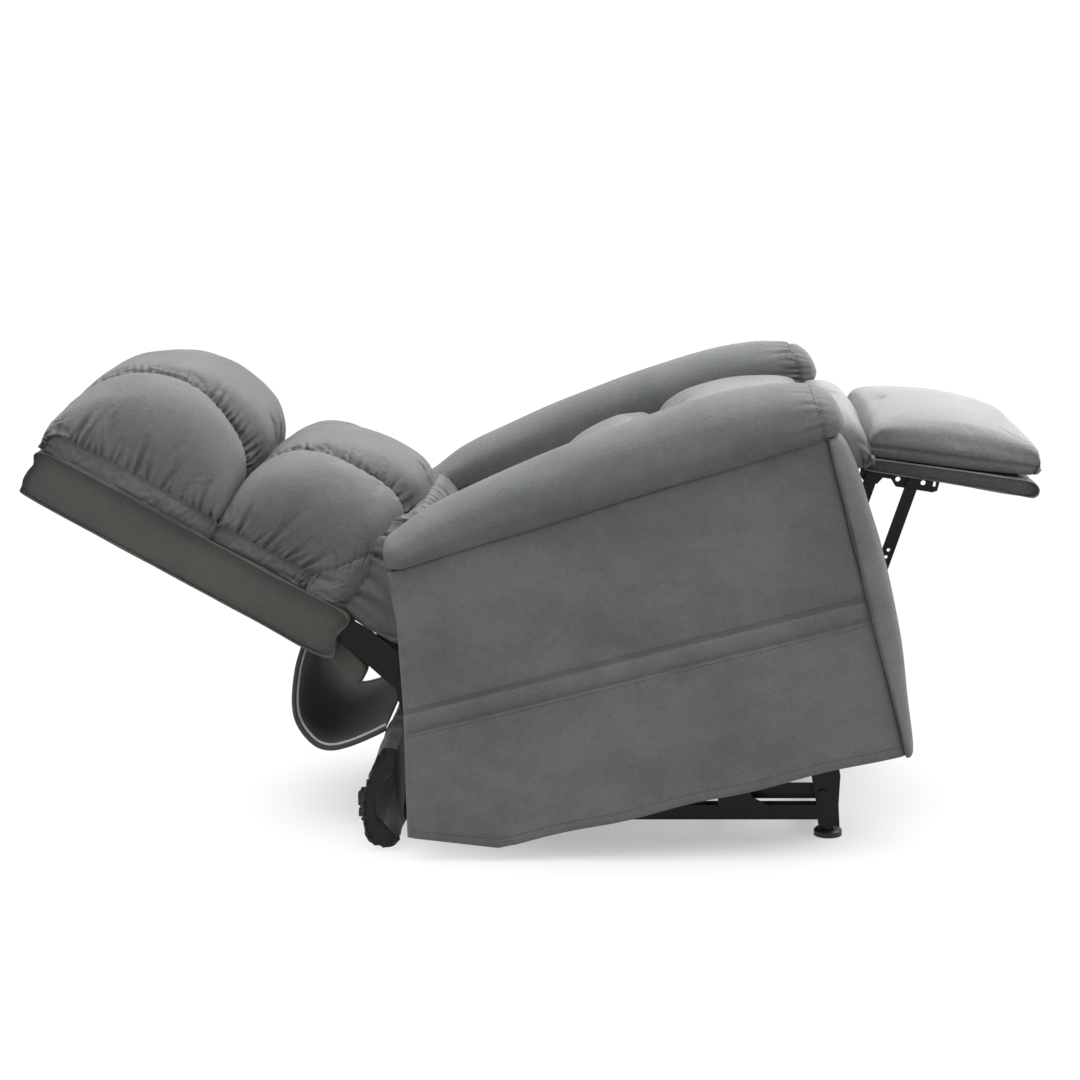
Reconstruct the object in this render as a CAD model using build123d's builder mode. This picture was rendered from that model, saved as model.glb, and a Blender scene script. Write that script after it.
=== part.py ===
"""Three-pillow lift recliner, shown reclined with the footrest out.

World frame: +X is the front of the chair, +Z is up, +Y is the sitter's left.
The upholstered body is drawn level and then tipped back about the tilt pins,
so body outlines are written in level (u, v) pairs and read like a side view
of the chair standing upright. The back is drawn along its own rear face
(s up the rear face, t out of it towards the sitter), and the footrest along
the line through its two bracket pins (p forward, q up out of the pads).
"""
import os
from math import cos, sin, radians, degrees, atan2, hypot
from build123d import *

os.makedirs("parts", exist_ok=True)

# ---------------------------------------------------------------- sizes, mm
SEAT_TILT = 14.0          # body tipped back from level
TILT_PIN = (14.0, 120.0)  # axis the body tips about
BACK_FOOT = (-226.0, 345.0)   # lower rear corner of the back, level frame
BACK_LEAN = 136.5         # direction of the back's rear face, level frame
RECLINE_PIN = (-165.0, 310.0)
FOOT_DROP = -22.9         # footrest slope, level frame
PAD_PIN_A = (706.0, 488.5)    # rear bracket pin of the footrest
PAD_PIN_GAP = 71.5        # spacing of the two bracket pins
LINK_LEN = 230.0          # footrest links, pin to pin
LINK_LEAN = 57.0          # slope of the footrest links, level frame
CRANK_PIN = (452.4, 385.4)    # axis of the footrest crank
CONTROL_RISE = 70.0       # control link pins above the crank pins

ARM_IN = 290.0            # inner face of each arm
ARM_OUT = 425.0           # outer face of each arm panel
ROLL_IN = 285.0
ROLL_OUT = ARM_OUT + 15.0
SEAT_HALF = 283.0
BACK_HALF = 278.0
PAD_HALF = 272.0
PLY = 12.0
SHELL_DEPTH = 84.0
SHELL_LOW = 100.0
SHELL_TOP = 714.0

RAIL_IN, RAIL_OUT = 250.0, 275.0
RAIL_LOW, RAIL_HIGH = 31.0, 58.0
RAIL_REAR = -229.0
POST_X = 525.0
FOOT_R = 25.0
TUBE_R = 12.5
PIN_R = 6.0
CLEAR = 0.1               # running clearance on a radius

LIFT_LOW = (515.0, 76.0)      # lower lift link, pin on the post
LIFT_LOW_END = (195.0, 76.0)
LIFT_HIGH = (515.5, 122.8)    # upper lift link, pin on the post
LIFT_HIGH_END = (211.7, 135.6)
LIFT_ANCHOR = (-163.9, 103.7)
LIFT_LEVER = (506.5, 146.3)
RECLINE_ANCHOR = (156.0, 213.7)
RECLINE_LEVER = (-192.3, 234.5)
FOOT_ANCHOR = (217.0, 375.6)
FOOT_LEVER = (501.2, 324.5)

HIGH_LINK = (235.0, 240.0)    # widths of the steel layers, each side
LOW_LINK = (243.0, 248.0)
CARRIER = (212.0, 224.0)
SIDE_PLATE = (284.0, 290.0)
CRANK = (274.0, 280.0)
PAD_LINK = (266.0, 272.0)
CONTROL = (258.0, 264.0)
BACK_POST = (260.0, 266.0)
RECLINE_Y = -90.0
FOOT_Y = 90.0


# ---------------------------------------------------------------- frames
def turned(point, angle, about=(0.0, 0.0)):
    a = radians(angle)
    dx, dz = point[0] - about[0], point[1] - about[1]
    return (about[0] + dx * cos(a) - dz * sin(a), about[1] + dx * sin(a) + dz * cos(a))


def level(point):
    """World (x, z) of a level (u, v) point."""
    return turned(point, SEAT_TILT, TILT_PIN)


def side_frame(origin, angle, facing=-1):
    a = radians(angle)

    def at(y):
        return Plane(origin=(origin[0], y, origin[1]), x_dir=(cos(a), 0, sin(a)), z_dir=(0, facing, 0))
    return at


WORLD = side_frame((0, 0), 0)
BODY = side_frame(level((0, 0)), SEAT_TILT)
BACK = side_frame(level(BACK_FOOT), BACK_LEAN + SEAT_TILT, 1)
PADS = side_frame(level(PAD_PIN_A), FOOT_DROP + SEAT_TILT)


def along(start, length, angle):
    return (start[0] + length * cos(radians(angle)), start[1] + length * sin(radians(angle)))


def back_st(point):
    """(s, t) of a level (u, v) point."""
    dx, dz = point[0] - BACK_FOOT[0], point[1] - BACK_FOOT[1]
    a = radians(BACK_LEAN)
    return (dx * cos(a) + dz * sin(a), dx * sin(a) - dz * cos(a))


PAD_PIN_B = along(PAD_PIN_A, PAD_PIN_GAP, FOOT_DROP)
CRANK_A = along(PAD_PIN_A, -LINK_LEN, LINK_LEAN)
CRANK_B = along(PAD_PIN_B, -LINK_LEN, LINK_LEAN)
CONTROL_PIN = along(CRANK_PIN, CONTROL_RISE, LINK_LEAN)
CONTROL_END = along(CRANK_A, CONTROL_RISE, LINK_LEAN)
HINGE_ST = back_st(RECLINE_PIN)
LEVER_ST = back_st(RECLINE_LEVER)


# ---------------------------------------------------------------- shapes
def widths(hand, inner, outer):
    return (inner, outer) if hand > 0 else (-outer, -inner)


def start_plane(frame, y0, y1):
    return frame(y1) if frame(0).z_dir.Y < 0 else frame(y0)


def roundest(face, wanted):
    """Largest workable corner radius of an outline, no more than the one wanted."""
    for radius in (wanted, 0.85 * wanted, 0.7 * wanted, 0.55 * wanted, 0.4 * wanted, 0.25 * wanted):
        try:
            face.fillet_2d(radius, face.vertices())
            return radius
        except ValueError:
            continue
    return 1.0


def plate(frame, points, y0, y1, corner=0.0):
    """Prism of a side outline between two widths."""
    with BuildPart() as body:
        with BuildSketch(start_plane(frame, y0, y1)) as outline:
            with BuildLine():
                Polyline(*points, close=True)
            make_face()
            if corner:
                fillet(outline.vertices(), roundest(outline.face(), corner))
        extrude(amount=y1 - y0)
    return body.part


def strip_outline(points, gauge):
    """Closed outline of a thin strip that follows a line of points."""
    inner = []
    for i, (x, z) in enumerate(points):
        before, after = points[max(i - 1, 0)], points[min(i + 1, len(points) - 1)]
        dx, dz = after[0] - before[0], after[1] - before[1]
        size = hypot(dx, dz)
        inner.append((x - dz / size * gauge, z + dx / size * gauge))
    return points + inner[::-1]


def round_bar(frame, at, radius, y0, y1, bore=0.0):
    """Round bar or tube lying across the chair."""
    with BuildPart() as body:
        with BuildSketch(start_plane(frame, y0, y1)):
            with Locations(at):
                Circle(radius)
                if bore:
                    Circle(bore, mode=Mode.SUBTRACT)
        extrude(amount=y1 - y0)
    return body.part


def strap(frame, a, b, half, y0, y1, bore_a, bore_b, extra=()):
    """Flat link with round ends and a bore at each pin."""
    length = hypot(b[0] - a[0], b[1] - a[1])
    turn = degrees(atan2(b[1] - a[1], b[0] - a[0]))
    middle = ((a[0] + b[0]) / 2, (a[1] + b[1]) / 2)
    with BuildPart() as body:
        with BuildSketch(start_plane(frame, y0, y1)):
            with Locations(middle):
                SlotCenterToCenter(length, 2 * half, rotation=turn)
            with Locations(a):
                Circle(bore_a, mode=Mode.SUBTRACT)
            with Locations(b):
                Circle(bore_b, mode=Mode.SUBTRACT)
            for point, radius in extra:
                with Locations(point):
                    Circle(radius, mode=Mode.SUBTRACT)
        extrude(amount=y1 - y0)
    return body.part


def cushion(frame, points, y0, y1, corner, edge):
    """Padded block: rounded outline with rounded end edges."""
    with BuildPart() as body:
        add(plate(frame, points, y0, y1, corner))
        ends = body.faces().filter_by(Axis.Y)
        fillet(ends.edges(), edge)
    return body.part


def widest(solid, edges, wanted):
    """Largest workable edge radius, no more than the one wanted."""
    for radius in (wanted, 0.8 * wanted, 0.6 * wanted, 0.45 * wanted, 0.3 * wanted, 0.2 * wanted, 2.0):
        try:
            solid.fillet(radius, edges)
            return radius
        except ValueError:
            continue
    return 0.5


def crowned(frame, points, y0, y1, edge, corner=None):
    """Padded block: rounded side outline, with both ends rounded over."""
    with BuildPart() as body:
        add(plate(frame, points, y0, y1, corner or edge + 1.0))
        round_over = body.faces().filter_by(Axis.Y).edges()
        fillet(round_over, widest(body.part, round_over, edge))
    return body.part


def block(x0, x1, y0, y1, z0, z1):
    with BuildPart() as body:
        with Locations(((x0 + x1) / 2, (y0 + y1) / 2, (z0 + z1) / 2)):
            Box(x1 - x0, y1 - y0, z1 - z0)
    return body.part


def stud(x, y, z, radius, length):
    """Short round stud lying along X, centred at the point."""
    with BuildPart() as body:
        with Locations(Pos(x, y, z) * Rot(0, 90, 0)):
            Cylinder(radius, length)
    return body.part


def save(name, label, part):
    part.label = label
    export_step(part, f"parts/{name}.step")


# ---------------------------------------------------------------- base
def post(hand):
    outline = [(508, 18), (545, 18), (543, 58), (546, 112), (540, 145), (499, 145), (495, 112), (504, 58)]
    return plate(WORLD, outline, *widths(hand, RAIL_IN, RAIL_OUT))


with BuildPart() as base_frame:
    for hand in (1, -1):
        y0, y1 = widths(hand, RAIL_IN, RAIL_OUT)
        add(block(RAIL_REAR, POST_X, y0, y1, RAIL_LOW, RAIL_HIGH))
        add(block(RAIL_REAR + 3, POST_X - 3, y0 + 3, y1 - 3, RAIL_LOW + 3, RAIL_HIGH - 3), mode=Mode.SUBTRACT)
        add(post(hand))
        add(plate(WORLD, [(330, 40), (423, 40), (423, 56), (392, 72), (376, 104), (345, 104), (330, 70)],
                  *widths(hand, RAIL_OUT, RAIL_OUT + 5)))
        add(block(293, 304, *widths(hand, RAIL_IN + 6, RAIL_OUT - 6), RAIL_HIGH, RAIL_HIGH + 9))
        add(block(-212, -188, y0, y1, 18, RAIL_LOW))
    add(block(513, 538, -RAIL_IN, RAIL_IN, RAIL_LOW, RAIL_HIGH))
    add(block(516, 535, -RAIL_IN - 2, RAIL_IN + 2, RAIL_LOW + 3, RAIL_HIGH - 3), mode=Mode.SUBTRACT)
    add(block(RAIL_REAR, RAIL_REAR + 25, -RAIL_IN, RAIL_IN, RAIL_LOW, RAIL_HIGH))
    add(block(RAIL_REAR + 3, RAIL_REAR + 22, -RAIL_IN - 2, RAIL_IN + 2, RAIL_LOW + 3, RAIL_HIGH - 3), mode=Mode.SUBTRACT)
    add(block(-128, -88, -RAIL_IN, RAIL_IN, RAIL_LOW, RAIL_LOW + 6))
    for hand in (1, -1):
        add(plate(WORLD, [(-226, 50), (-204, 50), (-150, 96), (-150, 118), (-176, 118), (-226, 62)],
                  *widths(hand, 22, 27)))
    for hand in (1, -1):
        for at in (LIFT_LOW, LIFT_HIGH):
            add(round_bar(WORLD, at, PIN_R, *widths(hand, 245, 280)), mode=Mode.SUBTRACT)
    add(round_bar(WORLD, LIFT_ANCHOR, 5.0, -30, 30), mode=Mode.SUBTRACT)
save("base_frame", "base_frame", base_frame.part)

with BuildPart() as levelling_feet:
    for x in (POST_X, -200.0):
        for hand in (1, -1):
            with Locations((x, hand * 262.5, 6)):
                Cylinder(FOOT_R, 12)
            with Locations((x, hand * 262.5, 15)):
                Cylinder(11, 6)
    rims = levelling_feet.edges().filter_by(GeomType.CIRCLE).filter_by_position(Axis.Z, 11.9, 12.1)
    chamfer(rims.filter_by(lambda e: e.radius > 20), 3)
save("levelling_feet", "levelling_feet", levelling_feet.part)

with BuildPart() as lift_pins:
    for hand in (1, -1):
        add(round_bar(WORLD, LIFT_LOW, PIN_R, *widths(hand, 232, 278)))
        add(round_bar(WORLD, LIFT_LOW, 10, *widths(hand, RAIL_OUT, 279)))
        add(round_bar(WORLD, LIFT_HIGH, PIN_R, *widths(hand, 232, 278)))
        add(round_bar(WORLD, LIFT_HIGH, 10, *widths(hand, RAIL_OUT, 279)))
        add(round_bar(WORLD, LIFT_HIGH, 9, *widths(hand, 230.5, 234.5)))
        add(round_bar(WORLD, LIFT_HIGH, 9, *widths(hand, 240.5, 250)))
    add(round_bar(WORLD, LIFT_ANCHOR, 5.0, -30, 30))
    add(round_bar(WORLD, LIFT_ANCHOR, 8.0, 27, 30))
    add(round_bar(WORLD, LIFT_ANCHOR, 8.0, -30, -27))
save("lift_pins", "lift_pins", lift_pins.part)

COVER = [(-252, 188), (-229, 188), (-229, 20), (-246, 7), (-282, 18), (-289, 90)]
with BuildPart() as rear_cover:
    add(plate(WORLD, COVER, -362, 362, 3))
    add(block(-320, -200, -296, 296, 136, 200), mode=Mode.SUBTRACT)
    add(plate(WORLD, [(-250, 130), (-233, 130), (-232, 22), (-246, 12), (-278, 21), (-284, 90)], -358, 358), mode=Mode.SUBTRACT)
    for hand in (1, -1):
        add(plate(WORLD, [(-250, 184), (-233, 184), (-233, 120), (-263, 120)], *widths(hand, 300, 358)), mode=Mode.SUBTRACT)
save("rear_cover", "rear_cover", rear_cover.part)

with BuildPart() as power_inlet:
    add(block(-299, -286.2, -345, -316, 72, 104))
    add(block(-303, -299, -340, -321, 77, 99))
save("power_inlet", "power_inlet", power_inlet.part)

with BuildPart() as cover_knob:
    add(stud(-290, -330, 62, 3.5, 12))
    add(stud(-299, -330, 62, 8, 8))
save("cover_knob", "cover_knob", cover_knob.part)

with BuildPart() as control_box:
    add(block(-170, -50, 50, 190, RAIL_LOW + 6, 90))
    fillet(control_box.edges().filter_by(Axis.Z), 8)
    with BuildSketch(Plane((-110, 120, 90))):
        with GridLocations(0, 14, 1, 7):
            Rectangle(80, 5)
    extrude(amount=-2, mode=Mode.SUBTRACT)
save("control_box", "control_box", control_box.part)

# ---------------------------------------------------------------- lift links
with BuildPart() as lower_lift_links:
    for hand in (1, -1):
        y0, y1 = widths(hand, *LOW_LINK)
        add(strap(WORLD, LIFT_LOW, LIFT_LOW_END, 14, y0, y1, PIN_R + CLEAR, PIN_R + CLEAR))
        add(round_bar(WORLD, (400, 76), 10, *widths(hand, 20, LOW_LINK[0] + 2)))
        add(plate(WORLD, [(388, 70), (412, 70), (520, 140), (520, 156), (498, 158)], *widths(hand, 20, 25)))
    add(round_bar(WORLD, LIFT_LEVER, 5.0, -30, 30), mode=Mode.SUBTRACT)
save("lower_lift_links", "lower_lift_links", lower_lift_links.part)

with BuildPart() as lift_lever_pin:
    add(round_bar(WORLD, LIFT_LEVER, 5.0, -28, 28))
    add(round_bar(WORLD, LIFT_LEVER, 8.0, 25, 28))
    add(round_bar(WORLD, LIFT_LEVER, 8.0, -28, -25))
save("lift_lever_pin", "lift_lever_pin", lift_lever_pin.part)

for hand, name in ((1, "left"), (-1, "right")):
    with BuildPart() as upper_lift_link:
        add(strap(WORLD, LIFT_HIGH, LIFT_HIGH_END, 14, *widths(hand, *HIGH_LINK), PIN_R + CLEAR, PIN_R + 3.5))
    save(f"upper_lift_link_{name}", f"upper_lift_link_{name}", upper_lift_link.part)

# ---------------------------------------------------------------- lift carrier
CARRIER_SIDE = [(-12, 104), (28, 96), (172, 61), (218, 61), (238, 120), (238, 184), (205, 190), (188, 150), (60, 150),
                (58, 184), (14, 184), (-12, 150)]
with BuildPart() as lift_carrier:
    for hand in (1, -1):
        y0, y1 = widths(hand, *CARRIER)
        add(plate(WORLD, CARRIER_SIDE, y0, y1, 6))
    for at in ((36, 166), (220, 166)):
        add(round_bar(WORLD, at, TUBE_R, -CARRIER[0] - 2, CARRIER[0] + 2))
        add(round_bar(WORLD, at, TUBE_R - 2.5, -CARRIER[0] - 1, CARRIER[0] + 1), mode=Mode.SUBTRACT)
    for hand in (1, -1):
        for at in (LIFT_LOW_END, LIFT_HIGH_END):
            add(round_bar(WORLD, at, PIN_R, *widths(hand, 205, 230)), mode=Mode.SUBTRACT)
        add(round_bar(WORLD, TILT_PIN, 8, *widths(hand, 205, 230)), mode=Mode.SUBTRACT)
save("lift_carrier", "lift_carrier", lift_carrier.part)

with BuildPart() as carrier_pins:
    for hand in (1, -1):
        add(round_bar(WORLD, LIFT_LOW_END, PIN_R, *widths(hand, 209, 253)))
        add(round_bar(WORLD, LIFT_LOW_END, 10, *widths(hand, 209, 212)))
        add(round_bar(WORLD, LIFT_LOW_END, 9, *widths(hand, 224, 242.5)))
        add(round_bar(WORLD, LIFT_LOW_END, 10, *widths(hand, 248.5, 253)))
        add(round_bar(WORLD, LIFT_HIGH_END, PIN_R, *widths(hand, 209, 242)))
        add(round_bar(WORLD, LIFT_HIGH_END, 10, *widths(hand, 209, 212)))
        add(round_bar(WORLD, LIFT_HIGH_END, 9, *widths(hand, 224, 234.5)))
        add(round_bar(WORLD, TILT_PIN, 8, *widths(hand, 209, 288)))
        add(round_bar(WORLD, TILT_PIN, 12, *widths(hand, 209, 212)))
        add(round_bar(WORLD, TILT_PIN, 11, *widths(hand, 224, 283.5)))
save("carrier_pins", "carrier_pins", carrier_pins.part)


# ---------------------------------------------------------------- actuators
def actuator(frame, anchor, lever, y, tube_len, rod_len, motor_side, play, eye=5.0):
    """Tube with motor, and the rod that slides in it. The rod ends in a fork that is open
    at the front, and play is how far the lever pin may wander across it, low and high."""
    turn = degrees(atan2(lever[1] - anchor[1], lever[0] - anchor[0]))
    here = frame(y)
    line = Plane(here.from_local_coords((anchor[0], anchor[1], 0)),
                 x_dir=here.from_local_coords((lever[0], lever[1], 0)) - here.from_local_coords((anchor[0], anchor[1], 0)),
                 z_dir=(0, -1, 0))
    length = hypot(lever[0] - anchor[0], lever[1] - anchor[1])
    with BuildPart(line) as tube:
        with Locations(Pos(12 + tube_len / 2, 0, 0) * Rot(0, 90, 0)):
            Cylinder(16, tube_len - 24)
            Cylinder(11.5, tube_len - 24, mode=Mode.SUBTRACT)
        with Locations(Pos(38, 0, 0)):
            Box(92, 34, 34)
        with Locations(Pos(54, 0, 33 * motor_side)):
            Box(60, 40, 32)
        with Locations(Pos(122, 0, 38 * motor_side) * Rot(0, 90, 0)):
            Cylinder(19, 80)
        with Locations((0, 0, 0)):
            Cylinder(eye + CLEAR, 60, mode=Mode.SUBTRACT)
        with Locations(Pos(70, 0, 0) * Rot(0, 90, 0)):
            Cylinder(11.5, 44, mode=Mode.SUBTRACT)
        with Locations(Pos(tube_len - 8, 0, 0) * Rot(0, 90, 0)):
            Cylinder(18, 16)
            Cylinder(10.5, 16, mode=Mode.SUBTRACT)
    with BuildPart(line) as rod:
        with Locations(Pos(length - 14 - rod_len / 2, 0, 0) * Rot(0, 90, 0)):
            Cylinder(10, rod_len)
        low, high = play[0] - eye - 0.6, play[1] + eye + 0.6
        with Locations(Pos(length - 5, (low + high) / 2, 0)):
            Box(34, high - low + 12, 22)
        with Locations(Pos(length - eye - 0.6 + 20, (low + high) / 2, 0)):
            Box(40, high - low, 60, mode=Mode.SUBTRACT)
    return tube.part, rod.part


lift_tube, lift_rod = actuator(WORLD, LIFT_ANCHOR, LIFT_LEVER, 0, 470, 270, 1, (0, 7))
save("lift_actuator_tube", "lift_actuator_tube", lift_tube)
save("lift_actuator_rod", "lift_actuator_rod", lift_rod)
recline_tube, recline_rod = actuator(BODY, RECLINE_ANCHOR, RECLINE_LEVER, RECLINE_Y, 250, 150, 1, (0, 2.6))
save("recline_actuator_tube", "recline_actuator_tube", recline_tube)
save("recline_actuator_rod", "recline_actuator_rod", recline_rod)
foot_tube, foot_rod = actuator(BODY, FOOT_ANCHOR, FOOT_LEVER, FOOT_Y, 165, 138, -1, (-10.3, 0))
save("footrest_actuator_tube", "footrest_actuator_tube", foot_tube)
save("footrest_actuator_rod", "footrest_actuator_rod", foot_rod)

# ---------------------------------------------------------------- body steel
SIDE_STEEL = [(-16, 96), (44, 96), (88, 236), (420, 350), (482, 352), (534, 424), (606, 470), (606, 502), (140, 502),
              (-118, 420), (-193, 338), (-193, 288), (-150, 280), (-62, 236)]
with BuildPart() as seat_side_plates:
    for hand in (1, -1):
        y0, y1 = widths(hand, *SIDE_PLATE)
        add(plate(BODY, SIDE_STEEL, y0, y1, 8))
        for at, bore in ((TILT_PIN, 8 + CLEAR), (CRANK_PIN, PIN_R), (CONTROL_PIN, 5), (RECLINE_PIN, PIN_R)):
            add(round_bar(BODY, at, bore, *widths(hand, 280, 292)), mode=Mode.SUBTRACT)
        for at in ((150, 430), (300, 440), (-60, 380)):
            add(round_bar(BODY, at, 18, *widths(hand, 280, 292)), mode=Mode.SUBTRACT)
    for at in ((150, 285), (190, 390)):
        add(round_bar(BODY, at, TUBE_R, -SIDE_PLATE[0] - 1, SIDE_PLATE[0] + 1))
        add(round_bar(BODY, at, TUBE_R - 2.5, -SIDE_PLATE[0], SIDE_PLATE[0]), mode=Mode.SUBTRACT)
    for y in (RECLINE_Y - 25, RECLINE_Y + 20):
        add(plate(BODY, [(140, 276), (138, 206), (146, 200), (166, 200), (174, 210), (166, 276)], y, y + 5))
    for y in (FOOT_Y - 25, FOOT_Y + 20):
        add(plate(BODY, [(200, 396), (196, 382), (214, 362), (230, 366), (232, 386), (206, 402)], y, y + 5))
    add(round_bar(BODY, RECLINE_ANCHOR, 5, RECLINE_Y - 30, RECLINE_Y + 30), mode=Mode.SUBTRACT)
    add(round_bar(BODY, FOOT_ANCHOR, 5, FOOT_Y - 30, FOOT_Y + 30), mode=Mode.SUBTRACT)
save("seat_side_plates", "seat_side_plates", seat_side_plates.part)

with BuildPart() as body_pins:
    for hand in (1, -1):
        add(round_bar(BODY, CRANK_PIN, PIN_R, *widths(hand, 271, 290)))
        add(round_bar(BODY, CRANK_PIN, 10, *widths(hand, 280.5, 284)))
        add(round_bar(BODY, RECLINE_PIN, PIN_R, *widths(hand, 258, 290)))
        add(round_bar(BODY, RECLINE_PIN, 10, *widths(hand, 266.5, 284)))
        add(round_bar(BODY, CONTROL_PIN, 5, *widths(hand, 256, 290)))
        add(round_bar(BODY, CONTROL_PIN, 8, *widths(hand, 264.5, 284)))
    for y, at in ((RECLINE_Y, RECLINE_ANCHOR), (FOOT_Y, FOOT_ANCHOR)):
        add(round_bar(BODY, at, 5, y - 28, y + 28))
        add(round_bar(BODY, at, 8, y - 28, y - 25))
        add(round_bar(BODY, at, 8, y + 25, y + 28))
save("body_pins", "body_pins", body_pins.part)

with BuildPart() as seat_frame:
    for hand in (1, -1):
        add(plate(BODY, [(150, 458), (600, 458), (600, 500), (150, 500)], *widths(hand, 228, 252)))
    add(plate(BODY, [(150, 458), (180, 458), (180, 500), (150, 500)], -284, 284))
    add(plate(BODY, [(560, 475), (600, 475), (600, 500), (560, 500)], -284, 284))
save("seat_frame", "seat_frame", seat_frame.part)

with BuildPart() as seat_webbing:
    for y in (-180, -108, -36, 36, 108, 180):
        add(plate(BODY, [(180, 493), (560, 493), (560, 497), (180, 497)], y - 14, y + 14))
    for u in (260, 360, 460):
        add(plate(BODY, [(u, 490), (u + 30, 490), (u + 30, 494), (u, 494)], -228, 228))
save("seat_webbing", "seat_webbing", seat_webbing.part)

# ---------------------------------------------------------------- arms


def roll_base(u, below=0.0):
    """Point under the arm roll, on the sloping top of the arm box."""
    return (u, 556.0 + 0.05 * (u + 130.0) - below)


ARM_LINE = [(-220, 100), (-69, 44), (285, 39), (643, 37), roll_base(643), roll_base(-129), (-128, 510), (-168, 313)]
ARM_BOARD = [(-150, 330), (-112, 300), (625, 300), roll_base(625), roll_base(-112)]
ROLL_LINE = [roll_base(-130), (-134, 598), (-37, 638), (94, 666), (277, 692), (454, 704), (580, 698), (660, 676), roll_base(674)]
FRONT_LINE = [(643, 26), (657, 40), (668, 120), (682, 260), (685, 384), (679, 492), roll_base(672), roll_base(643)]
for hand, name in ((1, "left"), (-1, "right")):
    with BuildPart() as arm_frame:
        add(plate(BODY, ARM_BOARD, *widths(hand, ARM_IN, ARM_IN + PLY)))
        add(plate(BODY, [(625, 60), (643, 60), roll_base(643), roll_base(625)], *widths(hand, ARM_IN, ARM_OUT - 15)))
        add(plate(BODY, [roll_base(-112, 12), roll_base(643, 12), roll_base(643), roll_base(-112)], *widths(hand, ARM_IN, ARM_OUT - 15)))
        add(plate(BODY, [(-206, 118), (-194, 112), (-112, 520), roll_base(-112), roll_base(-126), (-126, 512), (-165, 313)],
                  *widths(hand, ARM_IN + 4, ARM_OUT - 15)))
        add(plate(BODY, [(-150, 330), (-112, 300), (-112, 345), (-156, 345)], *widths(hand, ARM_IN, ARM_OUT - 15)))
    save(f"arm_frame_{name}", f"arm_frame_{name}", arm_frame.part)

    with BuildPart() as arm_side:
        add(plate(BODY, ARM_LINE, *widths(hand, ARM_OUT - 15, ARM_OUT), 4))
        for v in (312, 277):
            add(plate(BODY, [(-220, v), (660, v + 1), (660, v + 4), (-220, v + 3)], *widths(hand, ARM_OUT - 2, ARM_OUT + 5)),
                mode=Mode.SUBTRACT)
    save(f"arm_side_{name}", f"arm_side_{name}", arm_side.part)

    with BuildPart() as arm_front:
        add(cushion(BODY, FRONT_LINE, *widths(hand, ARM_IN, ARM_OUT + 2), 5, 4.5))
    save(f"arm_front_{name}", f"arm_front_{name}", arm_front.part)

    with BuildPart() as arm_roll:
        add(crowned(BODY, ROLL_LINE, *widths(hand, ROLL_IN, ROLL_OUT), 34))
    save(f"arm_roll_{name}", f"arm_roll_{name}", arm_roll.part)

# ---------------------------------------------------------------- seat
SEAT_REAR = [(150, 500), (146, 596), (220, 634), (300, 646), (351, 644), (352, 500)]
SEAT_FRONT = [(353, 500), (353, 652), (420, 664), (520, 658), (633, 634), (634, 500)]
BRIDGE = [(634.5, 504), (634.5, 632), (690, 612), (714, 570), (698, 508)]
with BuildPart() as seat_cushion:
    add(crowned(BODY, SEAT_REAR, -SEAT_HALF, SEAT_HALF, 30))
save("seat_cushion", "seat_cushion", seat_cushion.part)
with BuildPart() as seat_front_cushion:
    add(crowned(BODY, SEAT_FRONT, -SEAT_HALF, SEAT_HALF, 30))
save("seat_front_cushion", "seat_front_cushion", seat_front_cushion.part)
with BuildPart() as bridge_pad:
    add(crowned(BODY, BRIDGE, -SEAT_HALF, SEAT_HALF, 14))
save("bridge_pad", "bridge_pad", bridge_pad.part)

APRON = [(147.4, 562), (149.9, 502), (130, 470), (94, 436), (54, 392), (-20, 374), (-92, 358)]
with BuildPart() as seat_apron:
    add(plate(BODY, strip_outline(APRON, -6.0), -SEAT_HALF + 1, SEAT_HALF - 1))
save("seat_apron", "seat_apron", seat_apron.part)

# ---------------------------------------------------------------- back
POST_LINE = [(104, 79), (96, 37), (24, 20), (-36, 6), (HINGE_ST[0] - 10, HINGE_ST[1] - 16),
             (HINGE_ST[0] - 16, HINGE_ST[1] + 6), (HINGE_ST[0] + 8, HINGE_ST[1] + 22), (-3, 70), (60, 79)]
with BuildPart() as back_hinge_frame:
    for hand in (1, -1):
        y0, y1 = widths(hand, *BACK_POST)
        add(plate(BACK, POST_LINE, y0, y1, 4))
        add(plate(BACK, [(100, 70), (96, 79), (300, 79), (300, 60), (110, 60)], y0, y1))
    add(round_bar(BACK, (30, 44), TUBE_R, -BACK_POST[0] - 1, BACK_POST[0] + 1))
    add(round_bar(BACK, (30, 44), TUBE_R - 2.5, -BACK_POST[0], BACK_POST[0]), mode=Mode.SUBTRACT)
    for y in (RECLINE_Y - 21, RECLINE_Y + 16):
        add(plate(BACK, [(40, 54), (20, 54), (LEVER_ST[0] - 6, LEVER_ST[1] + 10), (LEVER_ST[0] - 10, LEVER_ST[1] - 4),
                         (LEVER_ST[0] + 2, LEVER_ST[1] - 10), (LEVER_ST[0] + 16, LEVER_ST[1] - 4), (42, 36)], y, y + 5))
    add(round_bar(BACK, LEVER_ST, 5, RECLINE_Y - 30, RECLINE_Y + 30), mode=Mode.SUBTRACT)
    for hand in (1, -1):
        add(round_bar(BACK, HINGE_ST, PIN_R + CLEAR, *widths(hand, 250, 270)), mode=Mode.SUBTRACT)
save("back_hinge_frame", "back_hinge_frame", back_hinge_frame.part)

with BuildPart() as recline_lever_pin:
    add(round_bar(BACK, LEVER_ST, 5, RECLINE_Y - 24, RECLINE_Y + 24))
    for y in (RECLINE_Y - 24, RECLINE_Y + 21):
        add(round_bar(BACK, LEVER_ST, 8, y, y + 3))
save("recline_lever_pin", "recline_lever_pin", recline_lever_pin.part)

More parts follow.
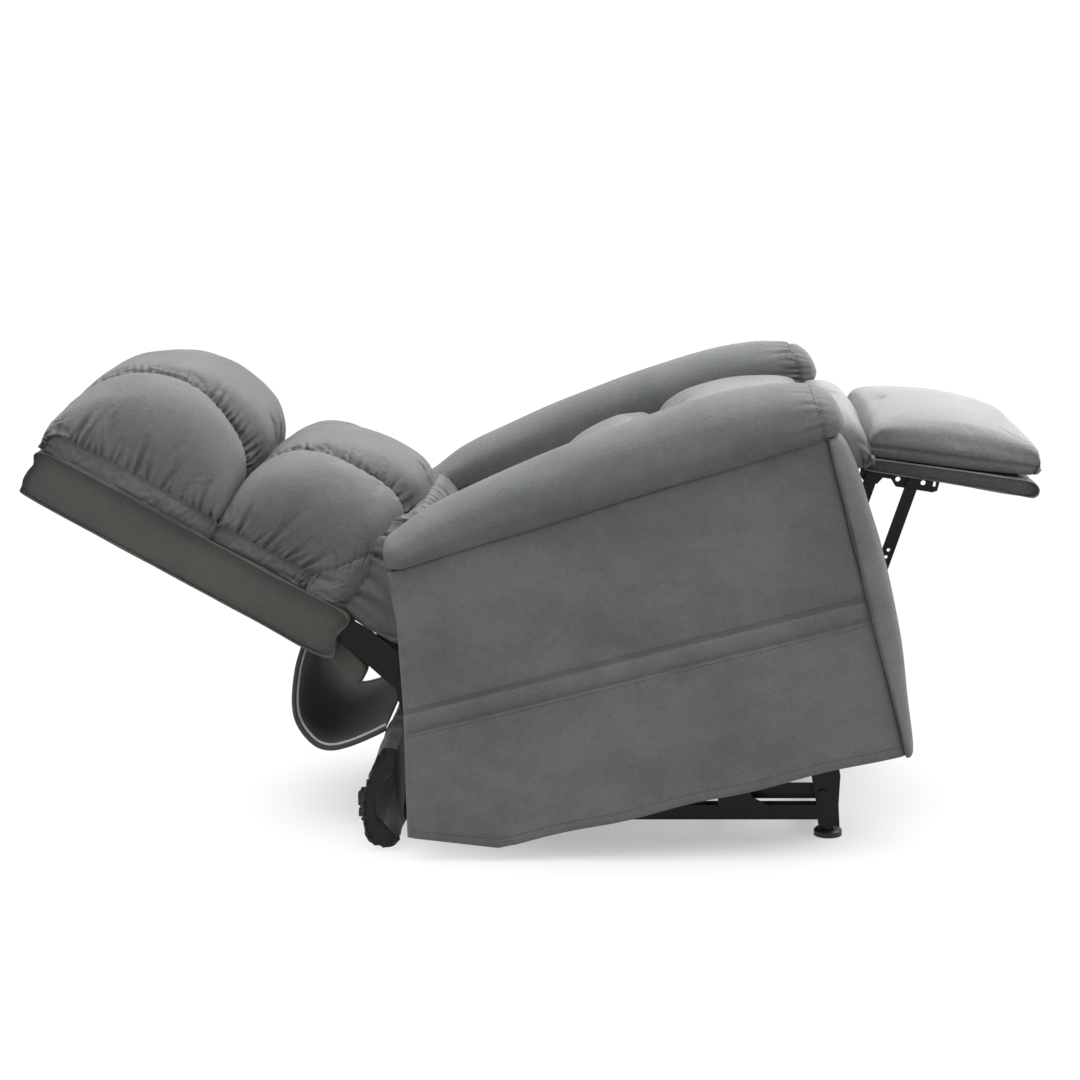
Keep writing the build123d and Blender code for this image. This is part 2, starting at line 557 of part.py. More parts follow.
with BuildPart() as back_frame:
    for hand in (1, -1):
        add(plate(BACK, [(112, 14), (690, 14), (690, 60), (112, 60)], *widths(hand, 238, 260)))
    for low, high in ((112, 140), (380, 408), (662, 690)):
        add(plate(BACK, [(low, 14), (high, 14), (high, 60), (low, 60)], -250, 250))
save("back_frame", "back_frame", back_frame.part)

SHELL_LINE = [(SHELL_LOW, 0), (700, 0), (SHELL_TOP, 22), (SHELL_TOP, 46), (694, SHELL_DEPTH), (SHELL_LOW + 4, SHELL_DEPTH + 2)]
with BuildPart() as back_shell:
    add(plate(BACK, SHELL_LINE, -BACK_HALF, BACK_HALF, 5))
    add(plate(BACK, [(SHELL_LOW + 10, 10), (692, 10), (702, 26), (702, 44), (690, 96), (SHELL_LOW - 8, 96), (SHELL_LOW - 8, 36),
                     (SHELL_LOW + 10, 36)], -BACK_HALF + PLY, BACK_HALF - PLY), mode=Mode.SUBTRACT)
save("back_shell", "back_shell", back_shell.part)

with BuildPart() as back_tongue:
    for hand in (1, -1):
        add(plate(BACK, [(SHELL_LOW - 0.2, 1), (SHELL_LOW - 0.2, 30), (40, 24), (2, 12), (0, -4), (60, -6)],
                  *widths(hand, BACK_HALF - 12, BACK_HALF - 2), 3))
save("back_tongue", "back_tongue", back_tongue.part)

HEAD = [(384, 86), (378, 206), (404, 286), (462, 320), (560, 320), (628, 294), (690, 228), (726, 150), (724, 86)]
LUMBAR = [(92, 86), (90, 316), (146, 342), (214, 342), (290, 320), (352, 264), (377, 196), (383, 86)]
INFILL = [(89, 87), (6, 82), (-12, 150), (-6, 236), (36, 284), (88, 296)]
with BuildPart() as head_pillow:
    add(crowned(BACK, HEAD, -BACK_HALF + 1, BACK_HALF - 1, 40))
save("head_pillow", "head_pillow", head_pillow.part)
with BuildPart() as lumbar_pillow:
    add(crowned(BACK, LUMBAR, -BACK_HALF + 1, BACK_HALF - 1, 34))
save("lumbar_pillow", "lumbar_pillow", lumbar_pillow.part)
with BuildPart() as back_infill:
    add(crowned(BACK, INFILL, -BACK_HALF + 22, BACK_HALF - 22, 18))
save("back_infill", "back_infill", back_infill.part)

SLING = [(-334, 446), (-362, 400), (-384, 343), (-387, 302), (-371, 263), (-346, 245), (-309, 243), (-262, 250), (-236, 256)]
with BuildPart() as rear_sling:
    add(plate(BODY, strip_outline(SLING, 4.0), -246, 246))
save("rear_sling", "rear_sling", rear_sling.part)

# ---------------------------------------------------------------- footrest
with BuildPart() as footrest_cranks:
    for hand in (1, -1):
        y0, y1 = widths(hand, *CRANK)
        with BuildSketch(start_plane(BODY, y0, y1)):
            with BuildLine():
                Polyline(CRANK_PIN, CRANK_A, CRANK_B, close=True)
            make_face()
            offset(amount=13, kind=Kind.ARC)
            for at, bore in ((CRANK_PIN, PIN_R + CLEAR), (CRANK_A, 5), (CRANK_B, 5)):
                with Locations(at):
                    Circle(bore, mode=Mode.SUBTRACT)
        extrude(amount=y1 - y0)
        add(round_bar(BODY, CRANK_PIN, 9, *widths(hand, 0, CRANK[0] - 4)))
        add(round_bar(BODY, CRANK_PIN, 11, *widths(hand, CRANK[0] - 9, CRANK[0] + 1), bore=PIN_R + CLEAR))
        add(round_bar(BODY, CRANK_PIN, PIN_R + CLEAR, *widths(hand, CRANK[0] - 4, CRANK[1] + 2)), mode=Mode.SUBTRACT)
    for y in (FOOT_Y - 21, FOOT_Y + 16):
        add(plate(BODY, [along(CRANK_PIN, 8, 40), (FOOT_LEVER[0] + 9, FOOT_LEVER[1] + 4), (FOOT_LEVER[0] + 2, FOOT_LEVER[1] - 9),
                         (FOOT_LEVER[0] - 10, FOOT_LEVER[1] - 4), along(CRANK_PIN, 8, 220)], y, y + 5))
    add(round_bar(BODY, FOOT_LEVER, 5, FOOT_Y - 30, FOOT_Y + 30), mode=Mode.SUBTRACT)
save("footrest_cranks", "footrest_cranks", footrest_cranks.part)

with BuildPart() as crank_pins:
    for hand in (1, -1):
        for at in (CRANK_A, CRANK_B):
            add(round_bar(BODY, at, 5, *widths(hand, 264.5, 280)))
            add(round_bar(BODY, at, 8, *widths(hand, 272.5, 274)))
            add(round_bar(BODY, at, 8, *widths(hand, 280, 281.5)))
    add(round_bar(BODY, FOOT_LEVER, 5, FOOT_Y - 24, FOOT_Y + 24))
    for y in (FOOT_Y - 24, FOOT_Y + 21):
        add(round_bar(BODY, FOOT_LEVER, 8, y, y + 3))
save("crank_pins", "crank_pins", crank_pins.part)

with BuildPart() as footrest_links_rear:
    for hand in (1, -1):
        holes = [(along(PAD_PIN_A, -d, LINK_LEAN), 3.2) for d in (18, 40)]
        add(strap(BODY, CRANK_A, PAD_PIN_A, 10.5, *widths(hand, *PAD_LINK), 5 + CLEAR, 5 + CLEAR, holes))
        add(round_bar(BODY, along(CRANK_A, 32, LINK_LEAN), 5, *widths(hand, 0, PAD_LINK[0] + 2)))
        add(round_bar(BODY, CONTROL_END, 4, *widths(hand, 256.5, PAD_LINK[1])))
        add(round_bar(BODY, CONTROL_END, 7, *widths(hand, 256.5, 257.6)))
save("footrest_links_rear", "footrest_links_rear", footrest_links_rear.part)

with BuildPart() as footrest_links_front:
    for hand in (1, -1):
        holes = [(along(CRANK_B, d, LINK_LEAN), 3.2) for d in (92, 105)]
        add(strap(BODY, CRANK_B, PAD_PIN_B, 10.5, *widths(hand, *PAD_LINK), 5 + CLEAR, 5 + 1.0, holes))
        add(round_bar(BODY, along(CRANK_B, 32, LINK_LEAN), 5, *widths(hand, 0, PAD_LINK[0] + 2)))
save("footrest_links_front", "footrest_links_front", footrest_links_front.part)

with BuildPart() as footrest_control_links:
    for hand in (1, -1):
        add(strap(BODY, CONTROL_PIN, CONTROL_END, 8, *widths(hand, *CONTROL), 5 + CLEAR, 4 + 1.0))
        add(round_bar(BODY, along(CONTROL_PIN, 24, degrees(atan2(CONTROL_END[1] - CONTROL_PIN[1], CONTROL_END[0] - CONTROL_PIN[0]))),
                      4.5, *widths(hand, 0, CONTROL[0] + 2)))
save("footrest_control_links", "footrest_control_links", footrest_control_links.part)

BRACKET_LINE = [(-20, 12), (-20, -2), (-10, -12), (12, -12), (20, 0), (34, 0), (44, -12), (108, -13), (116, -9), (118, 12)]
with BuildPart() as footrest_brackets:
    for hand in (1, -1):
        add(plate(PADS, BRACKET_LINE, *widths(hand, 259, 265)))
        add(plate(PADS, [(-20, 9), (118, 9), (118, 12), (-20, 12)], *widths(hand, 225, 262)))
        for at, radius in (((0, 0), 5), ((PAD_PIN_GAP, 0), 5), ((46, 1), 4.5), ((90, 1), 4.5)):
            add(round_bar(PADS, at, radius, *widths(hand, 255, 268)), mode=Mode.SUBTRACT)
        add(plate(PADS, [(107, -3), (112, -3), (112, 6), (107, 6)], *widths(hand, 255, 268)), mode=Mode.SUBTRACT)
save("footrest_brackets", "footrest_brackets", footrest_brackets.part)

with BuildPart() as bracket_pins:
    for hand in (1, -1):
        for p in (0, PAD_PIN_GAP):
            add(round_bar(PADS, (p, 0), 5, *widths(hand, 257, 273.5)))
            add(round_bar(PADS, (p, 0), 8, *widths(hand, 257, 259)))
            add(round_bar(PADS, (p, 0), 8, *widths(hand, 272.5, 274)))
save("bracket_pins", "bracket_pins", bracket_pins.part)



def board_top(p):
    return (p, 24.0 + (p + 14.0) * 6.0 / 276.0)


with BuildPart() as footrest_board:
    add(plate(PADS, [(-14, 12), (122, 12), (276, 8), (280, 20), board_top(262), board_top(-14)], -PAD_HALF + 2, PAD_HALF - 2, 3))
save("footrest_board", "footrest_board", footrest_board.part)
with BuildPart() as footrest_spacer:
    add(plate(PADS, [board_top(0), board_top(250), (250, 43.58), (0, 40.13)], -PAD_HALF + 14, PAD_HALF - 14))
save("footrest_spacer", "footrest_spacer", footrest_spacer.part)
PAD_LINE = [(-13, 40), (-13, 92), (60, 104), (200, 106), (277, 94), (277, 44)]
with BuildPart() as footrest_pad:
    add(crowned(PADS, PAD_LINE, -PAD_HALF, PAD_HALF, 17))
save("footrest_pad", "footrest_pad", footrest_pad.part)

# ---------------------------------------------------------------- handset
with BuildPart() as handset_pocket:
    y0, y1 = ARM_OUT, ARM_OUT + 27
    add(plate(BODY, [(280, 250), (350, 250), (350, 370), (280, 370)], y0, y1, 4))
    add(plate(BODY, [(283, 253), (347, 253), (347, 380), (283, 380)], y0 + 2, y1 - 2), mode=Mode.SUBTRACT)
save("handset_pocket", "handset_pocket", handset_pocket.part)

KEYS = [("rise", 300, 418), ("lower", 330, 418), ("recline", 300, 394), ("footrest", 330, 394)]
with BuildPart() as handset_shell:
    add(plate(BODY, [(286, 256), (344, 256), (344, 436), (286, 436)], ARM_OUT + 3.5, ARM_OUT + 23.5, 9))
    for name, u, v in KEYS:
        add(plate(BODY, [(u - 10.5, v - 8.5), (u + 10.5, v - 8.5), (u + 10.5, v + 8.5), (u - 10.5, v + 8.5)],
                  ARM_OUT + 18.5, ARM_OUT + 30), mode=Mode.SUBTRACT)
    add(round_bar(BODY, (315, 258), 4, ARM_OUT + 9, ARM_OUT + 17))
save("handset_shell", "handset_shell", handset_shell.part)
for name, u, v in KEYS:
    with BuildPart() as key:
        add(plate(BODY, [(u - 10, v - 8), (u + 10, v - 8), (u + 10, v + 8), (u - 10, v + 8)], ARM_OUT + 20.3, ARM_OUT + 25.3, 2))
    save(f"handset_key_{name}", f"handset_key_{name}", key.part)
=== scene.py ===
# %% [markdown]
# # A lift recliner, dressed
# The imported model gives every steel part, board and actuator in place. This notebook adds what a
# model maker sees last: leather over foam, seams with their gathers, stitches, cloth and steel finishes.
# Everything is in metres and stays in the frame's own coordinates, so nothing is fitted by eye.

# %% Load the frame
import math
import bpy
import bmesh
import numpy as np
from mathutils import Matrix, Vector


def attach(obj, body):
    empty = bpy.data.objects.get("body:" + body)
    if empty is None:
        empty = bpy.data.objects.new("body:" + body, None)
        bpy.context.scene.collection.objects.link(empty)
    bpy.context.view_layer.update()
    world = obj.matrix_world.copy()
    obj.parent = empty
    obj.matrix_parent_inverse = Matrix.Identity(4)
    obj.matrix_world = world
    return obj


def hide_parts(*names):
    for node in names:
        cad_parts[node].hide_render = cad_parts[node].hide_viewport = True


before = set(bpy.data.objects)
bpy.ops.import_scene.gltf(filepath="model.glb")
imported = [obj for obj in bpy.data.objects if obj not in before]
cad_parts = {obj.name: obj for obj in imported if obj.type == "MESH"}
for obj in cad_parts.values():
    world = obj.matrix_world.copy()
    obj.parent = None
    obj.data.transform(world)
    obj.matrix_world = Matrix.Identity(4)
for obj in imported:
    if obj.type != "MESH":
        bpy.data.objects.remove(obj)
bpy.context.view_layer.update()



def placed(name, data):
    """A new object with this data, in the scene."""
    obj = bpy.data.objects.new(name, data)
    bpy.context.scene.collection.objects.link(obj)
    return obj


# %% [markdown]
# ## Three working frames
# A chair is easier to shape in the frames its makers use: the seat body drawn level, the back along
# its own rear face, and the footrest along its pins. Each helper turns such a point, in
# millimetres, into the x and z of the frame.

# %% Working frames
TILT = 14.0
TILT_PIN = (14.0, 120.0)
BACK_FOOT = (-226.0, 345.0)
BACK_LEAN = 136.5
PAD_PIN = (706.0, 488.5)
FOOT_DROP = -22.9


def body_xz(u, v):
    """x and z in metres of a point (u, v) of the level seat body."""
    a = math.radians(TILT)
    du, dv = np.asarray(u) - TILT_PIN[0], np.asarray(v) - TILT_PIN[1]
    return ((TILT_PIN[0] + du * math.cos(a) - dv * math.sin(a)) / 1000,
            (TILT_PIN[1] + du * math.sin(a) + dv * math.cos(a)) / 1000)


def turned(origin, lean, along, out):
    """x and z in metres, from millimetres along a line that leans by so many degrees, and out from it."""
    a = math.radians(lean)
    x, z = origin
    return (x + (np.asarray(along) * math.cos(a) - np.asarray(out) * math.sin(a)) / 1000,
            z + (np.asarray(along) * math.sin(a) + np.asarray(out) * math.cos(a)) / 1000)


def back_xz(s, t):
    """s runs up the back's rear face, t out of it towards the sitter."""
    return turned(body_xz(*BACK_FOOT), BACK_LEAN + TILT, s, -np.asarray(t))


def pad_xz(p, q):
    """p runs forward along the footrest's pins, q up through its pad."""
    return turned(body_xz(*PAD_PIN), FOOT_DROP + TILT, p, q)


def floor_xz(x, z):
    return np.asarray(x) / 1000, np.asarray(z) / 1000


print("back hinge side starts at", [round(float(c), 3) for c in back_xz(0, 0)])

# %% [markdown]
# ## The camera
# A furniture picture is taken from far away with a long lens, so the sides stay parallel. The camera
# looks at the sitter's right side from a little in front of it and a little above.

# %% Camera
AIM = Vector((0.030, -0.425, 0.566))
SIDE, DOWN, ROLL, AWAY = math.radians(3.2), math.radians(10.5), math.radians(-0.95), 4.0
ahead = Vector((-math.sin(SIDE) * math.cos(DOWN), math.cos(SIDE) * math.cos(DOWN), -math.sin(DOWN)))
right = Vector((math.cos(SIDE), math.sin(SIDE), 0))
up = right.cross(ahead)
right, up = right * math.cos(ROLL) + up * math.sin(ROLL), up * math.cos(ROLL) - right * math.sin(ROLL)
camera = placed("camera", bpy.data.cameras.new("camera"))
camera.data.lens, camera.data.sensor_width = 79.33, 36.0
camera.data.clip_end = 100
camera.matrix_world = Matrix((
    (right.x, up.x, -ahead.x, 0), (right.y, up.y, -ahead.y, 0), (right.z, up.z, -ahead.z, 0), (0, 0, 0, 1)))
camera.location = AIM - ahead * AWAY
bpy.context.scene.camera = camera
print("camera at", [round(c, 3) for c in camera.location])

# %% [markdown]
# ## Floor and light
# The floor is one pale sheet under a broad overhead light, strong enough to make it read as white, so
# the tops of the cushions are bright, their sides stay calm, and soft shadows gather under the chair.
# The floor also glows with white emission, which is painted light: near the chair about two fifths of it
# is glow, which lightens the shadow there, and away from the chair it is all glow, so the shadow stays close to the
# chair.
# The sky is white behind the chair but lights it only gently, except in glancing reflections, where
# the white room shows as a sheen on the cushion tops.

# %% Floor and light
bpy.context.scene.view_settings.view_transform = "Standard"
world = bpy.data.worlds.new("studio")
bpy.context.scene.world = world
world.use_nodes = True
backdrop = world.node_tree.nodes["Background"]
backdrop.inputs["Color"].default_value = (1, 1, 1, 1)
seen = world.node_tree.nodes.new("ShaderNodeLightPath")
AMBIENT, SHEEN_LIGHT, WHITE = 0.40, 0.62, 1.05
strength = None
for rays, extra in (("Is Camera Ray", WHITE - AMBIENT), ("Is Glossy Ray", SHEEN_LIGHT - AMBIENT)):
    add = world.node_tree.nodes.new("ShaderNodeMath")
    add.operation = "MULTIPLY_ADD"
    add.inputs[1].default_value = extra
    world.node_tree.links.new(seen.outputs[rays], add.inputs[0])
    if strength is None:
        add.inputs[2].default_value = AMBIENT
    else:
        world.node_tree.links.new(strength, add.inputs[2])
    strength = add.outputs[0]
world.node_tree.links.new(strength, backdrop.inputs["Strength"])


def lamp(name, at, toward, size, power):
    light = bpy.data.lights.new(name, "AREA")
    light.shape, light.size, light.size_y, light.energy = "RECTANGLE", size[0], size[1], power
    obj = placed(name, light)
    obj.location = at
    obj.rotation_mode = "QUATERNION"
    obj.rotation_quaternion = (Vector(toward) - Vector(at)).to_track_quat("-Z", "Y")
    return obj


sky_light = bpy.data.lights.new("ceiling", "SUN")
sky_light.energy, sky_light.angle = 7.6, math.radians(88)
ceiling = placed("ceiling", sky_light)
ceiling.rotation_euler = (math.radians(-6), math.radians(10), 0)
lamp("front_fill", (3.4, -1.6, 1.9), (0.3, 0.0, 0.5), (1.6, 1.6), 12)
lamp("side_fill", (-2.2, -3.4, 2.3), (-0.3, -0.3, 0.5), (2.0, 1.4), 34)
lamp("far_sheen", (1.5, 3.4, 1.25), (0.75, 0.0, 0.5), (2.6, 1.2), 21)

floor_mesh = bpy.data.meshes.new("floor")
floor_mesh.from_pydata([(-14, -14, 0), (14, -14, 0), (14, 14, 0), (-14, 14, 0)], [], [(0, 1, 2, 3)])
floor = placed("floor", floor_mesh)
print("lamps and floor ready")

# %% [markdown]
# ## Node helpers
# Every finish is made of nodes that read Object coordinates in metres, so the grain has one size all
# over the chair and stays put on each piece.

# %% Node helpers


class Finish:
    """A material with its Principled shader, and short ways to add nodes to it."""

    def __init__(self, name, colour, roughness, metallic=0.0, **sockets):
        self.mat = bpy.data.materials.new(name)
        self.mat.use_nodes = True
        self.nodes, self.links = self.mat.node_tree.nodes, self.mat.node_tree.links
        self.shader = self.nodes["Principled BSDF"]
        self.shader.inputs["Base Color"].default_value = (*colour, 1)
        self.shader.inputs["Roughness"].default_value = roughness
        self.shader.inputs["Metallic"].default_value = metallic
        for key, value in sockets.items():
            self.shader.inputs[key.replace("_", " ")].default_value = value
        self.place = self.nodes.new("ShaderNodeTexCoord").outputs["Object"]
        self.mat.diffuse_color = (*colour, 1)

    def add(self, kind, links=None, **values):
        node = self.nodes.new(kind)
        for key, value in values.items():
            if hasattr(node, key):
                setattr(node, key, value)
            else:
                node.inputs[key.replace("_", " ")].default_value = value
        for socket, source in (links or {}).items():
            self.links.new(source, node.inputs[socket])
        return node

    def noise(self, scale, detail=3.0, stretch=None, rough=0.5):
        source = self.place
        if stretch:
            source = self.add("ShaderNodeMapping", {"Vector": source}, Scale=stretch).outputs["Vector"]
        return self.add("ShaderNodeTexNoise", {"Vector": source}, Scale=scale, Detail=detail,
                        Roughness=rough).outputs["Fac"]

    def ramp(self, source, stops):
        node = self.add("ShaderNodeValToRGB", {"Fac": source})
        while len(node.color_ramp.elements) < len(stops):
            node.color_ramp.elements.new(0.5)
        for element, (at, colour) in zip(node.color_ramp.elements, stops):
            element.position = at
            element.color = (*colour, 1) if len(colour) == 3 else colour
        return node.outputs["Color"]

    def feed(self, node, **sockets):
        """Sets each numbered socket to a number or a colour, or links it to an output."""
        for key, value in sockets.items():
            socket = node.inputs[int(key[1:])]
            if isinstance(value, (int, float)):
                socket.default_value = value
            elif isinstance(value, tuple):
                socket.default_value = (*value, 1)
            else:
                self.links.new(value, socket)
        return node

    def mix(self, fac, a, b, kind="MIX"):
        node = self.add("ShaderNodeMix", data_type="RGBA", blend_type=kind)
        return self.feed(node, _0=fac, _6=a, _7=b).outputs[2]

    def math(self, kind, a, b=0.5):
        return self.feed(self.add("ShaderNodeMath", operation=kind), _0=a, _1=b).outputs[0]

    def bump(self, height, distance, strength=1.0, under=None):
        node = self.add("ShaderNodeBump", {"Height": height}, Strength=strength, Distance=distance)
        if under is not None:
            self.links.new(under, node.inputs["Normal"])
        return node.outputs["Normal"]

    def colour(self, source):
        self.links.new(source, self.shader.inputs["Base Color"])

    def rough(self, source, low, high):
        node = self.add("ShaderNodeMapRange", {"Value": source})
        node.inputs["To Min"].default_value, node.inputs["To Max"].default_value = low, high
        self.links.new(node.outputs["Result"], self.shader.inputs["Roughness"])

    def normal(self, source):
        self.links.new(source, self.shader.inputs["Normal"])


def shade(grey, tint=(1.0, 1.0, 1.0)):
    """A display grey from 0 to 255 as linear colour, with a tint."""
    value = (grey / 255) ** 2.2
    return tuple(value * t for t in tint)


print("finishes read Object coordinates")

# %% [markdown]
# ## Leather
# The cover is a soft pebbled leather with a dry, slightly waxed face. Up close it is a net of small
# rounded cells. From further off it is cloudy, because the wax moves where it is rubbed. Two cell
# textures make the pebbles, a fine noise makes the pores, and slow noises make the clouds.

# %% Leather


def leather(name, grey, tint, dry=0.50, cloud=0.16):
    f = Finish(name, shade(grey, tint), dry, Specular_IOR_Level=0.42, Sheen_Weight=0.10, Sheen_Roughness=0.45)
    base = shade(grey, tint)
    dark = tuple(c * (1 - 1.5 * cloud) for c in base)
    warm = (base[0] * (1 + cloud * 1.05), base[1] * (1 + cloud), base[2] * (1 + cloud * 0.82))
    pale = tuple(c * (1 + 1.2 * cloud) for c in base)
    slow = f.noise(5.5, 4.0, stretch=(1.0, 1.0, 1.5))
    patch = f.noise(24.0, 5.0, rough=0.62)
    clouds = f.ramp(f.math("ADD", f.math("MULTIPLY", slow, 0.62), f.math("MULTIPLY", patch, 0.38)),
                    [(0.36, dark), (0.50, base), (0.58, warm), (0.68, pale)])
    bent = f.add("ShaderNodeMapping", {"Vector": f.place}, Scale=(1.0, 1.0, 1.2)).outputs["Vector"]
    grain = f.add("ShaderNodeTexVoronoi", {"Vector": bent}, feature="F1", Scale=150.0).outputs["Distance"]
    clouds = f.mix(0.55, clouds, f.mix(1.0, clouds, f.ramp(grain, [(0.0, (1.14, 1.14, 1.14)), (0.45, (1, 1, 1)),
            (0.85, (0.80, 0.80, 0.80))]), "MULTIPLY"))
    cells = f.add("ShaderNodeTexVoronoi", {"Vector": bent}, feature="DISTANCE_TO_EDGE", Scale=420.0).outputs["Distance"]
    larger = f.add("ShaderNodeTexVoronoi", {"Vector": bent}, feature="SMOOTH_F1", Scale=230.0,
                   Smoothness=0.6).outputs["Distance"]
    pores = f.noise(1400.0, 2.0)
    creases = f.noise(95.0, 5.0, stretch=(1.0, 1.0, 0.55), rough=0.65)
    pebble = f.ramp(cells, [(0.0, (0, 0, 0)), (0.16, (0.75, 0.75, 0.75)), (0.42, (1, 1, 1))])
    f.colour(f.mix(0.30, clouds, f.mix(1.0, clouds, f.ramp(cells, [(0.0, (0.62, 0.62, 0.62)), (0.2, (1, 1, 1)),
            (1.0, (1, 1, 1))]), "MULTIPLY")))
    f.rough(f.math("ADD", f.math("MULTIPLY", patch, 0.7), f.math("MULTIPLY", creases, 0.3)), dry - 0.09, dry + 0.12)
    low = f.bump(creases, 0.0011, 0.55)
    mid = f.bump(larger, 0.0010, 0.35, low)
    fine = f.bump(pebble, 0.0007, 0.75, mid)
    f.normal(f.bump(pores, 0.00012, 0.35, fine))
    return f.mat


LEATHER = leather("leather", 85, (0.935, 1.0, 0.995), cloud=0.14)
# A copy of the same leather, lighter, a little bluer and glossier, for the seat and footrest tops: its lighter, bluer
# colour is painted light, standing in for the overhead light and the white room's sheen on the tops.
LIT_TOPS_LEATHER = leather("leather_tops", 100, (0.97, 0.99, 1.03), dry=0.36, cloud=0.06)
SHELL_LEATHER = leather("shell_leather", 69, (0.97, 1.0, 0.88), dry=0.56, cloud=0.09)
print("leathers made")

# %% [markdown]
# ## Cloth, steel, plastic and wood
# The cover behind the base is a dull felted cloth, the hanging rear cloth is lined, the mechanism is
# powder-coated black, and the pins and rods are zinc plated or ground steel.

# %% Other finishes


def woven(name, grey, tint, threads=900.0, dull=0.88):
    f = Finish(name, shade(grey, tint), dull, Specular_IOR_Level=0.2, Sheen_Weight=0.2, Sheen_Roughness=0.6)
    spun = f.add("ShaderNodeTexWave", {"Vector": f.place}, wave_type="BANDS", bands_direction="X",
                 Scale=threads / 6, Distortion=1.2, Detail=2.0).outputs["Fac"]
    weft = f.add("ShaderNodeTexWave", {"Vector": f.place}, wave_type="BANDS", bands_direction="Z",
                 Scale=threads / 6, Distortion=1.2, Detail=2.0).outputs["Fac"]
    fuzz = f.noise(60.0, 5.0, rough=0.7)
    weave = f.math("MAXIMUM", spun, weft)
    base = shade(grey, tint)
    f.colour(f.mix(fuzz, tuple(c * 0.72 for c in base), tuple(c * 1.25 for c in base)))
    f.normal(f.bump(weave, 0.0004, 0.5, f.bump(fuzz, 0.0012, 0.4)))
    return f.mat


def coated(name, grey, roughness, metallic=0.0, speckle=0.0004, **more):
    f = Finish(name, shade(grey), roughness, metallic, **more)
    peel = f.noise(520.0, 3.0)
    wear = f.noise(14.0, 6.0, rough=0.7)
    base = shade(grey)
    f.colour(f.ramp(wear, [(0.35, tuple(c * 0.8 for c in base)), (0.62, base), (0.8, tuple(c * 1.4 for c in base))]))
    f.rough(wear, max(0.04, roughness - 0.08), roughness + 0.1)
    f.normal(f.bump(peel, speckle, 0.3))
    return f.mat


def boards(name, colour):
    f = Finish(name, colour, 0.6)
    grain = f.noise(30.0, 6.0, stretch=(1.0, 1.0, 9.0), rough=0.7)
    f.colour(f.mix(grain, tuple(c * 0.6 for c in colour), tuple(c * 1.25 for c in colour)))
    f.normal(f.bump(grain, 0.0006, 0.4))
    return f.mat


FINISHES = {
    "leather": LEATHER,
    "shell_leather": SHELL_LEATHER,
    "dark_cloth": woven("dark_cloth", 34, (1.0, 1.0, 1.02)),
    "cover_cloth": woven("cover_cloth", 22, (1.0, 1.0, 0.95), 700.0),
    "black_steel": coated("black_steel", 10, 0.36, Specular_IOR_Level=0.25),
    "zinc_steel": coated("zinc_steel", 150, 0.34, 1.0, 0.0002),
    "rod_steel": coated("rod_steel", 190, 0.16, 1.0, 0.0001),
    "black_plastic": coated("black_plastic", 18, 0.45, 0.0, 0.0003),
    "grey_plastic": coated("grey_plastic", 120, 0.5, 0.0, 0.0003),
    "ply": boards("ply", (0.46, 0.33, 0.2)),
    "webbing": woven("webbing", 60, (1.0, 1.0, 1.0), 500.0),
}
BINDING = woven("pale_binding", 176, (1.0, 1.0, 1.02))
THREAD = coated("thread", 44, 0.7, 0.0, 0.0001)
PIPING = leather("piping", 52, (1.0, 1.0, 0.98), dry=0.5)
floor_paint = Finish("floor_paint", (0.56, 0.56, 0.56), 0.9, Specular_IOR_Level=0.1)
reach = floor_paint.add("ShaderNodeMapping", {"Vector": floor_paint.place}, Location=(-0.24, -0.05, 0.0),
                        Scale=(1.18, 1.35, 0.0))
away = floor_paint.add("ShaderNodeVectorMath", {"Vector": reach.outputs["Vector"]}, operation="LENGTH").outputs["Value"]
# The share of painted glow in the floor: about two fifths near the chair, lightening its shadow, rising to all glow
# further off.
painted_glow_share = floor_paint.add("ShaderNodeMapRange", {"Value": away}, interpolation_type="SMOOTHSTEP")
painted_glow_share.inputs["From Min"].default_value, painted_glow_share.inputs["From Max"].default_value = 0.45, 0.98
painted_glow_share.inputs["To Min"].default_value, painted_glow_share.inputs["To Max"].default_value = 0.42, 1.0
glow = floor_paint.add("ShaderNodeEmission", Color=(1, 1, 1, 1), Strength=1.02)
blend = floor_paint.add("ShaderNodeMixShader", {0: painted_glow_share.outputs["Result"]})
floor_paint.links.new(floor_paint.shader.outputs[0], blend.inputs[1])
floor_paint.links.new(glow.outputs[0], blend.inputs[2])
floor_paint.links.new(blend.outputs[0], floor_paint.nodes["Material Output"].inputs["Surface"])
floor_mesh.materials.append(floor_paint.mat)

# %% [markdown]
# Every node of the frame gets its finish from its slot. Steel, boards, tubes and rods already have
# their right shape, so a better material is all that they need.

# %% Finishes on the frame's own parts
for name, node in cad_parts.items():
    for place in node.material_slots:
        label = place.material.name.split(".")[0] if place.material else ""
        finish = next((FINISHES[k] for k in sorted(FINISHES, key=len, reverse=True) if k in label), None)
        if finish:
            place.material = FINISHES["black_steel"] if name in ("bracket_pins", "crank_pins", "lift_pins") else finish
        else:
            print("no finish for", name, label)

# %% [markdown]
# ## A surface from a few drawn lines
# A sewn cushion is a set of flat leather panels joined along seams, so its shape is well given by a
# few lines drawn across it. A net holds those lines as rows of points. Smooth splines through the rows
# and columns make the surface, and the splines land exactly on every line that will be a seam.

# %% Nets


def spline_weights(count, at, closed=False):
    """Weights of each control point for the spline's points at the given control numbers."""
    weights = np.zeros((len(at), count))
    for row, x in enumerate(at):
        i = int(x) if closed else min(int(x), count - 2)
        f = x - i
        for d, w in zip((-1, 0, 1, 2), ((-f + 2 * f * f - f ** 3) / 2, (2 - 5 * f * f + 3 * f ** 3) / 2,
                                        (f + 4 * f * f - 3 * f ** 3) / 2, (f ** 3 - f * f) / 2)):
            j = i + d
            if closed:
                weights[row, j % count] += w
            elif j < 0:
                weights[row, 0] += 2 * w
                weights[row, 1] -= w
            elif j >= count:
                weights[row, -1] += 2 * w
                weights[row, -2] -= w
            else:
                weights[row, j] += w
    return weights


